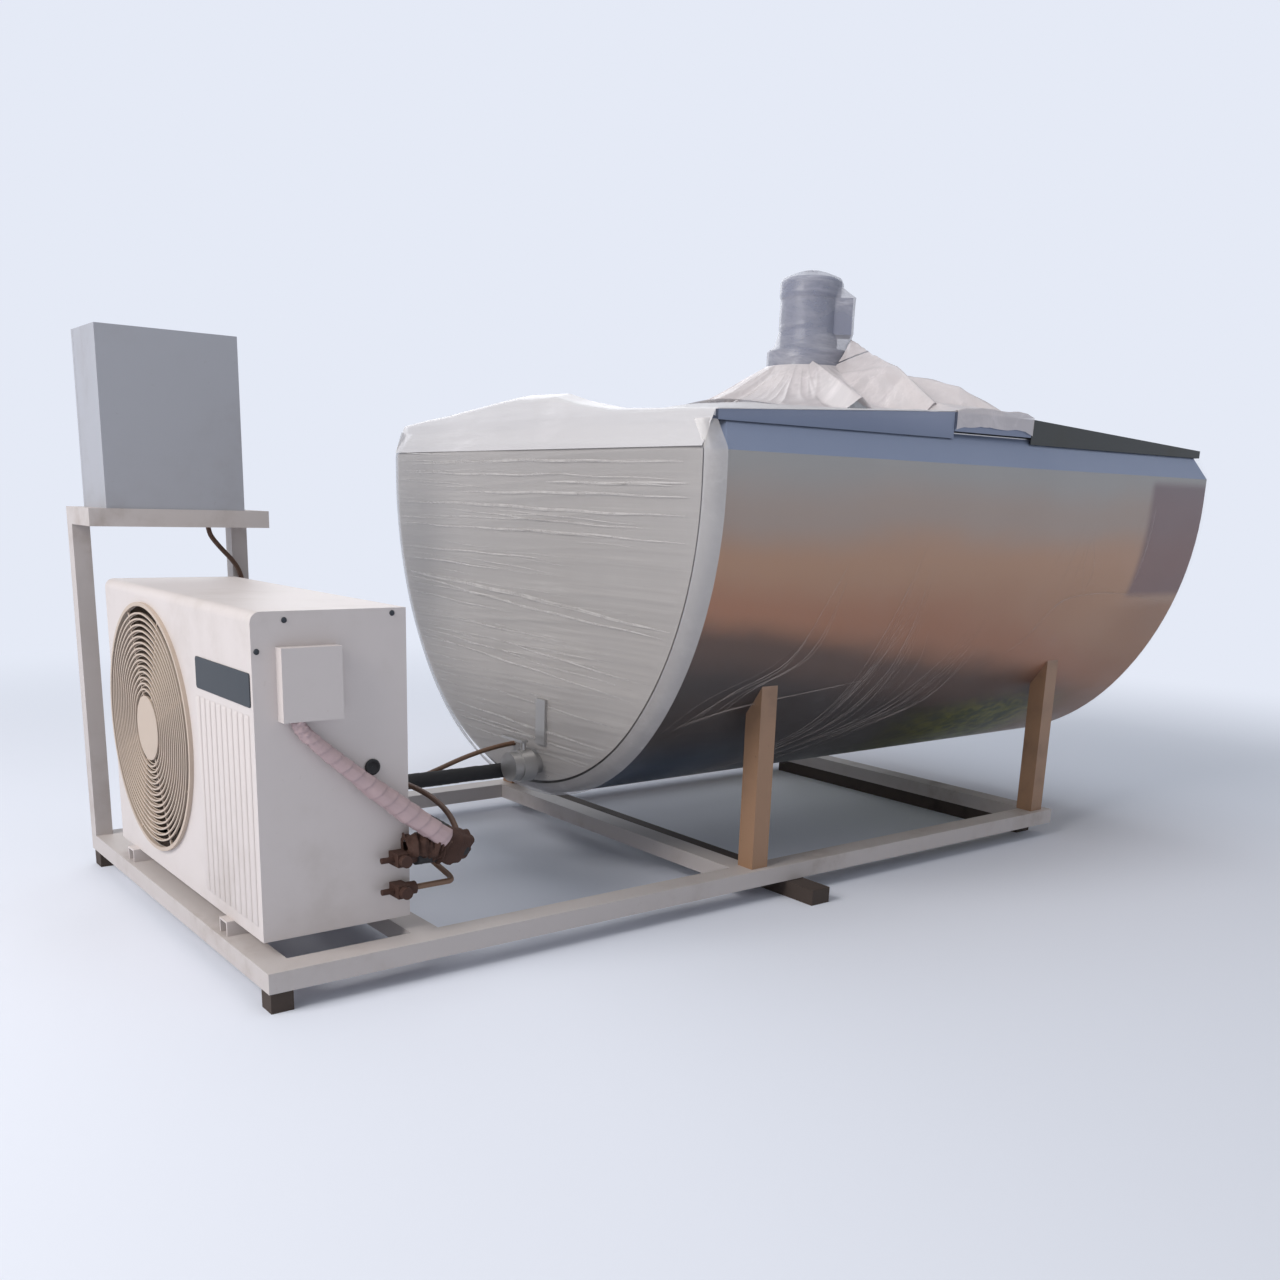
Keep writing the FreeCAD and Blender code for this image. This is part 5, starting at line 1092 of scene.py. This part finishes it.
def route_curve(name, points, radius=0.0):
    data = bpy.data.curves.new(name, "CURVE")
    data.dimensions = "3D"
    spline = data.splines.new("NURBS")
    spline.points.add(len(points) - 1)
    for control, point in zip(spline.points, points):
        control.co = (*point, 1)
    spline.order_u = 3
    spline.use_endpoint_u = True
    data.resolution_u = 12
    data.bevel_depth = radius
    data.bevel_resolution = 6
    thing = bpy.data.objects.new(name, data)
    bpy.context.scene.collection.objects.link(thing)
    return thing


def route_points(points):
    """The points of a route's smooth spline."""
    thing = route_curve("route", points)
    mesh = bpy.data.meshes.new_from_object(thing)
    found = [vertex.co.copy() for vertex in mesh.vertices]
    bpy.data.objects.remove(thing)
    return found


def wrapped_line(name, points, radii, lump, turns, body, material):
    """A tube along a route, wound with tape: radii as (share, radius), a step at each turn of the tape."""
    path = route_points(points)
    lengths = [0.0]
    for a, b in zip(path, path[1:]):
        lengths.append(lengths[-1] + (b - a).length)
    steps = 260
    around = 40
    rows = []
    side = Vector((0, 0, 1))
    for i in range(steps + 1):
        want = lengths[-1] * i / steps
        k = 0
        while k < len(path) - 2 and lengths[k + 1] < want:
            k += 1
        share = (want - lengths[k]) / max(lengths[k + 1] - lengths[k], 1e-9)
        middle = path[k].lerp(path[k + 1], share)
        ahead = (path[min(k + 2, len(path) - 1)] - path[max(k - 1, 0)]).normalized()
        side = (side - ahead * side.dot(ahead)).normalized()
        other = ahead.cross(side)
        radius = along_points(radii, i / steps)
        row = []
        for j in range(around):
            angle = 2 * math.pi * j / around
            turn = (turns * i / steps + j / around) % 1
            lumps = ripple((middle.x + side.x, angle, middle.y), (30, 1.6, 30), turns)
            thick = radius + (lump * 0.5 * turn + lump * lumps)
            outward = side * math.cos(angle) + other * math.sin(angle)
            row.append(tuple(middle + outward * thick))
        rows.append(row)
    for row, end in ((rows[0], path[0]), (rows[-1], path[-1])):
        flat = [tuple(end.lerp(Vector(point), 0.5)) for point in row]
        rows.insert(0, flat) if row is rows[0] else rows.append(flat)
    mesh = grid_mesh(name, rows, closed=True)
    return add_piece(name, mesh, body, material)


def lines():
    """The taped bundle, the wrapped joint, the two refrigerant lines and the control cable."""
    bundle = wrapped_line("bundle_tape", BUNDLE_ROUTE, ((0, 0.012), (0.3, 0.0145), (0.75, 0.021), (1, 0.019)),
                          0.003, 14, "root", TAPE)
    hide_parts("taped_bundle")
    wrapped_line("joint_wrap", ((-1.11, -0.517, 0.262), (-1.06, -0.52, 0.262), (-1.01, -0.52, 0.25),
                                (-0.972, -0.5, 0.244)),
                 ((0, 0.018), (0.3, 0.026), (0.7, 0.03), (1, 0.022)), 0.012, 7, "root", RUST)
    suction = wrapped_line("suction_line", SUCTION_ROUTE, ((0, 0.018), (1, 0.018)), 0.0012, 46, "root",
                           RUBBER)
    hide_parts("refrigerant_lines")
    liquid = route_curve("liquid_line", LIQUID_ROUTE, 0.006)
    liquid.data.materials.append(COPPER)
    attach(liquid, "root")
    cable = route_curve("cable", CABLE_ROUTE, 0.006)
    cable.data.materials.append(CABLE)
    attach(cable, "root")
    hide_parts("control_cable")


def rounded_plate(name, low, high, radius, body, material):
    """A thin plate in the YZ plane with rounded corners and a softened front edge."""
    mesh = bpy.data.meshes.new(name)
    rim = []
    near, far = low.y + radius, high.y - radius
    under, over = low.z + radius, high.z - radius
    corners = ((far, over, 0), (near, over, 90), (near, under, 180), (far, under, 270))
    for corner_y, corner_z, start in corners:
        for step in range(9):
            angle = math.radians(start + step * 90 / 8)
            rim.append((corner_y + math.cos(angle) * radius, corner_z + math.sin(angle) * radius))
    middle = ((low.y + high.y) / 2, (low.z + high.z) / 2)
    rings = []
    for x, shrink in ((high.x, 0), (low.x + 0.0006, 0), (low.x, 0.0008)):
        rings.append([(x, y + math.copysign(shrink, middle[0] - y), z + math.copysign(shrink, middle[1] - z))
                      for y, z in rim])
    points = [p for ring in rings for p in ring]
    count = len(rim)
    faces = [(k, (k + 1) % count, count + (k + 1) % count, count + k) for k in range(count)]
    faces += [(count + a, count + b, 2 * count + b, 2 * count + a)
              for a, b in ((k, (k + 1) % count) for k in range(count))]
    faces.append(tuple(range(2 * count, 3 * count)))
    mesh.from_pydata(points, [], faces)
    return add_piece(name, mesh, body, material)


UNIT_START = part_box("unit_front_panel")[0].x
UNIT_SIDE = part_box("unit_side_panel")[0].y
UNIT_FOOT = 110 * MM
FLUTES = 10
FLUTE_STEP = 28.5 * MM
FLUTE_HALF = 9.5 * MM
FLUTE_DEPTH = 3.2 * MM
FLUTE_LOW, FLUTE_TOP = 135 * MM, 535 * MM
FLUTE_END = 7 * MM
FLUTE_FIRST = -462 * MM


def flutes():
    """Pressed vertical ribs beside the grille, below the bare badge plate."""
    meshes = []
    for number in range(FLUTES):
        y = FLUTE_FIRST + number * FLUTE_STEP
        rows = []
        low_end, top_end = FLUTE_LOW + FLUTE_END, FLUTE_TOP - FLUTE_END
        for z, deep in ((FLUTE_LOW, 0), (low_end, 1), (top_end, 1), (FLUTE_TOP, 0)):
            row = []
            for k in range(9):
                turn = math.pi * k / 8
                row.append((UNIT_START - 0.0004 - FLUTE_DEPTH * deep * math.sin(turn),
                            y - FLUTE_HALF * math.cos(turn), z))
            rows.append(row)
        meshes.append(grid_mesh("flute", rows))
    add_piece("front_flutes", join_meshes("front_flutes", meshes), "root", *[CREAM] * len(meshes))


# The grommet's section as (out of the panel, radius), and its place on the panel
GROMMET = ((0.0, 0.0155), (0.002, 0.0158), (0.0036, 0.0145), (0.004, 0.0125), (0.003, 0.0108),
           (0.0012, 0.0102), (0.001, 0.0001))
GROMMET_ALONG, GROMMET_UP = 228 * MM, 312 * MM


def grommet():
    """The rubber grommet of a hole in the unit's near side."""
    rows = []
    for out, radius in GROMMET:
        row = []
        for k in range(32):
            turn = k * math.pi / 16
            row.append((UNIT_START + GROMMET_ALONG + radius * math.cos(turn), UNIT_SIDE - out - 0.0003,
                        UNIT_FOOT + GROMMET_UP + radius * math.sin(turn)))
        rows.append(row)
    add_piece("side_grommet", grid_mesh("side_grommet", rows, closed=True), "root", RUBBER)


FINE_RINGS = 15
HUB_RADIUS = 66 * MM
WIRE_RADIUS = 1.4 * MM


def fine_rings():
    """Thin round wires at the grille's back, from its hub out to its rim."""
    low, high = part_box("fan_grille")
    middle = (low + high) / 2
    outer = (high.z - low.z) / 2 - 0.012
    meshes = []
    for number in range(FINE_RINGS):
        radius = HUB_RADIUS + (outer - HUB_RADIUS) * number / FINE_RINGS
        rows = []
        for k in range(97):
            angle = 2 * math.pi * k / 96
            row = []
            for step in range(7):
                turn = step * math.pi / 3
                wide = radius + WIRE_RADIUS * math.sin(turn)
                row.append((high.x - 0.0022 + WIRE_RADIUS * math.cos(turn),
                            middle.y + wide * math.cos(angle), middle.z + wide * math.sin(angle)))
            rows.append(row)
        meshes.append(grid_mesh("ring", rows))
    add_piece("fine_rings", join_meshes("fine_rings", meshes), "root", *[GRILLE] * len(meshes))


# Screws on the unit's near side, as (along, up) in metres from its front foot
SCREWS = ((0.063, 0.596), (0.275, 0.602), (0.010, 0.542), (0.121, 0.436))
SCREW_RADIUS = 5.5 * MM


def screws():
    """Pan-head screws on the unit's near side."""
    whole = bmesh.new()
    for along, up in SCREWS:
        made = bmesh.ops.create_uvsphere(whole, u_segments=16, v_segments=8, radius=SCREW_RADIUS)
        for vertex in made["verts"]:
            vertex.co.y *= 0.45
            vertex.co += Vector((UNIT_START + along, UNIT_SIDE - 0.0003, UNIT_FOOT + up))
    mesh = bpy.data.meshes.new("screws")
    whole.to_mesh(mesh)
    whole.free()
    mesh.shade_smooth()
    add_piece("side_screws", mesh, "root", SLATE)


SIDE_FILM = film_material("side_film", (1.4, 1.4, 1.0), 0.5, 0.16, 0.02, 0.16, relief=0.12, rough=0.25)
END_FILM = film_material("end_film", (0.0, 0.14, 16.0), 0.0, 0.4, 0.74, 0.95, (0.46, 0.44, 0.435), 0.14, 0.45)
BAND_FILM = film_material("band_film", (1.0, 1.0, 1.5), 0.0, 0.3, 0.5, 0.85, (0.54, 0.52, 0.52), 0.15, 0.35)
TENT_FILM = film_material("tent_film", (1.6, 1.6, 1.6), 0.0, 0.5, 0.72, 0.97, (0.7, 0.65, 0.66), 0.3, 0.4)
LID_FILM = film_material("lid_film", (0.3, 0.3, 3.0), 0.0, 0.4, 0.8, 0.97, (0.66, 0.65, 0.67), 0.2, 0.4)
WOUND_FILM = film_material("wound_film", (0.8, 0.8, 3.0), 0.0, 0.5, 0.35, 0.8, (0.5, 0.5, 0.56), 0.1, 0.35)
CREASE = see_through(painted("crease_line", (0.4, 0.33, 0.29), (0.3, 0.26, 0.24), 0.4, 9.0, 0.3), 0.4)
WHITE_LINE = painted("white_crease", (0.66, 0.64, 0.63), (0.5, 0.48, 0.46), 0.4, 9.0, 0.35)
CREASE_WHITE = see_through(WHITE_LINE, 0.6)
BADGE_LOW = Vector((-1.3962, -0.484, 0.551))
BADGE_HIGH = Vector((-1.394, -0.204, 0.613))


bpy.context.scene.view_settings.view_transform = "Standard"
set_camera()
set_world()
set_lights()
add_floor()
for finish, names in FINISHES.items():
    for name in names:
        paint_node(name, finish)
lines()
wrap_tank()
side_creases()
end_creases()
bevel_bands()
lid_film()
drive_film()
tent_film("front_tent", -1, "front_tent_film")
tent_film("rear_tent", 1, "rear_tent_film")
bridge_film()
rounded_plate("bare_badge", BADGE_LOW, BADGE_HIGH, 0.006, "root", SLATE)
flutes()
fine_rings()
grommet()
screws()
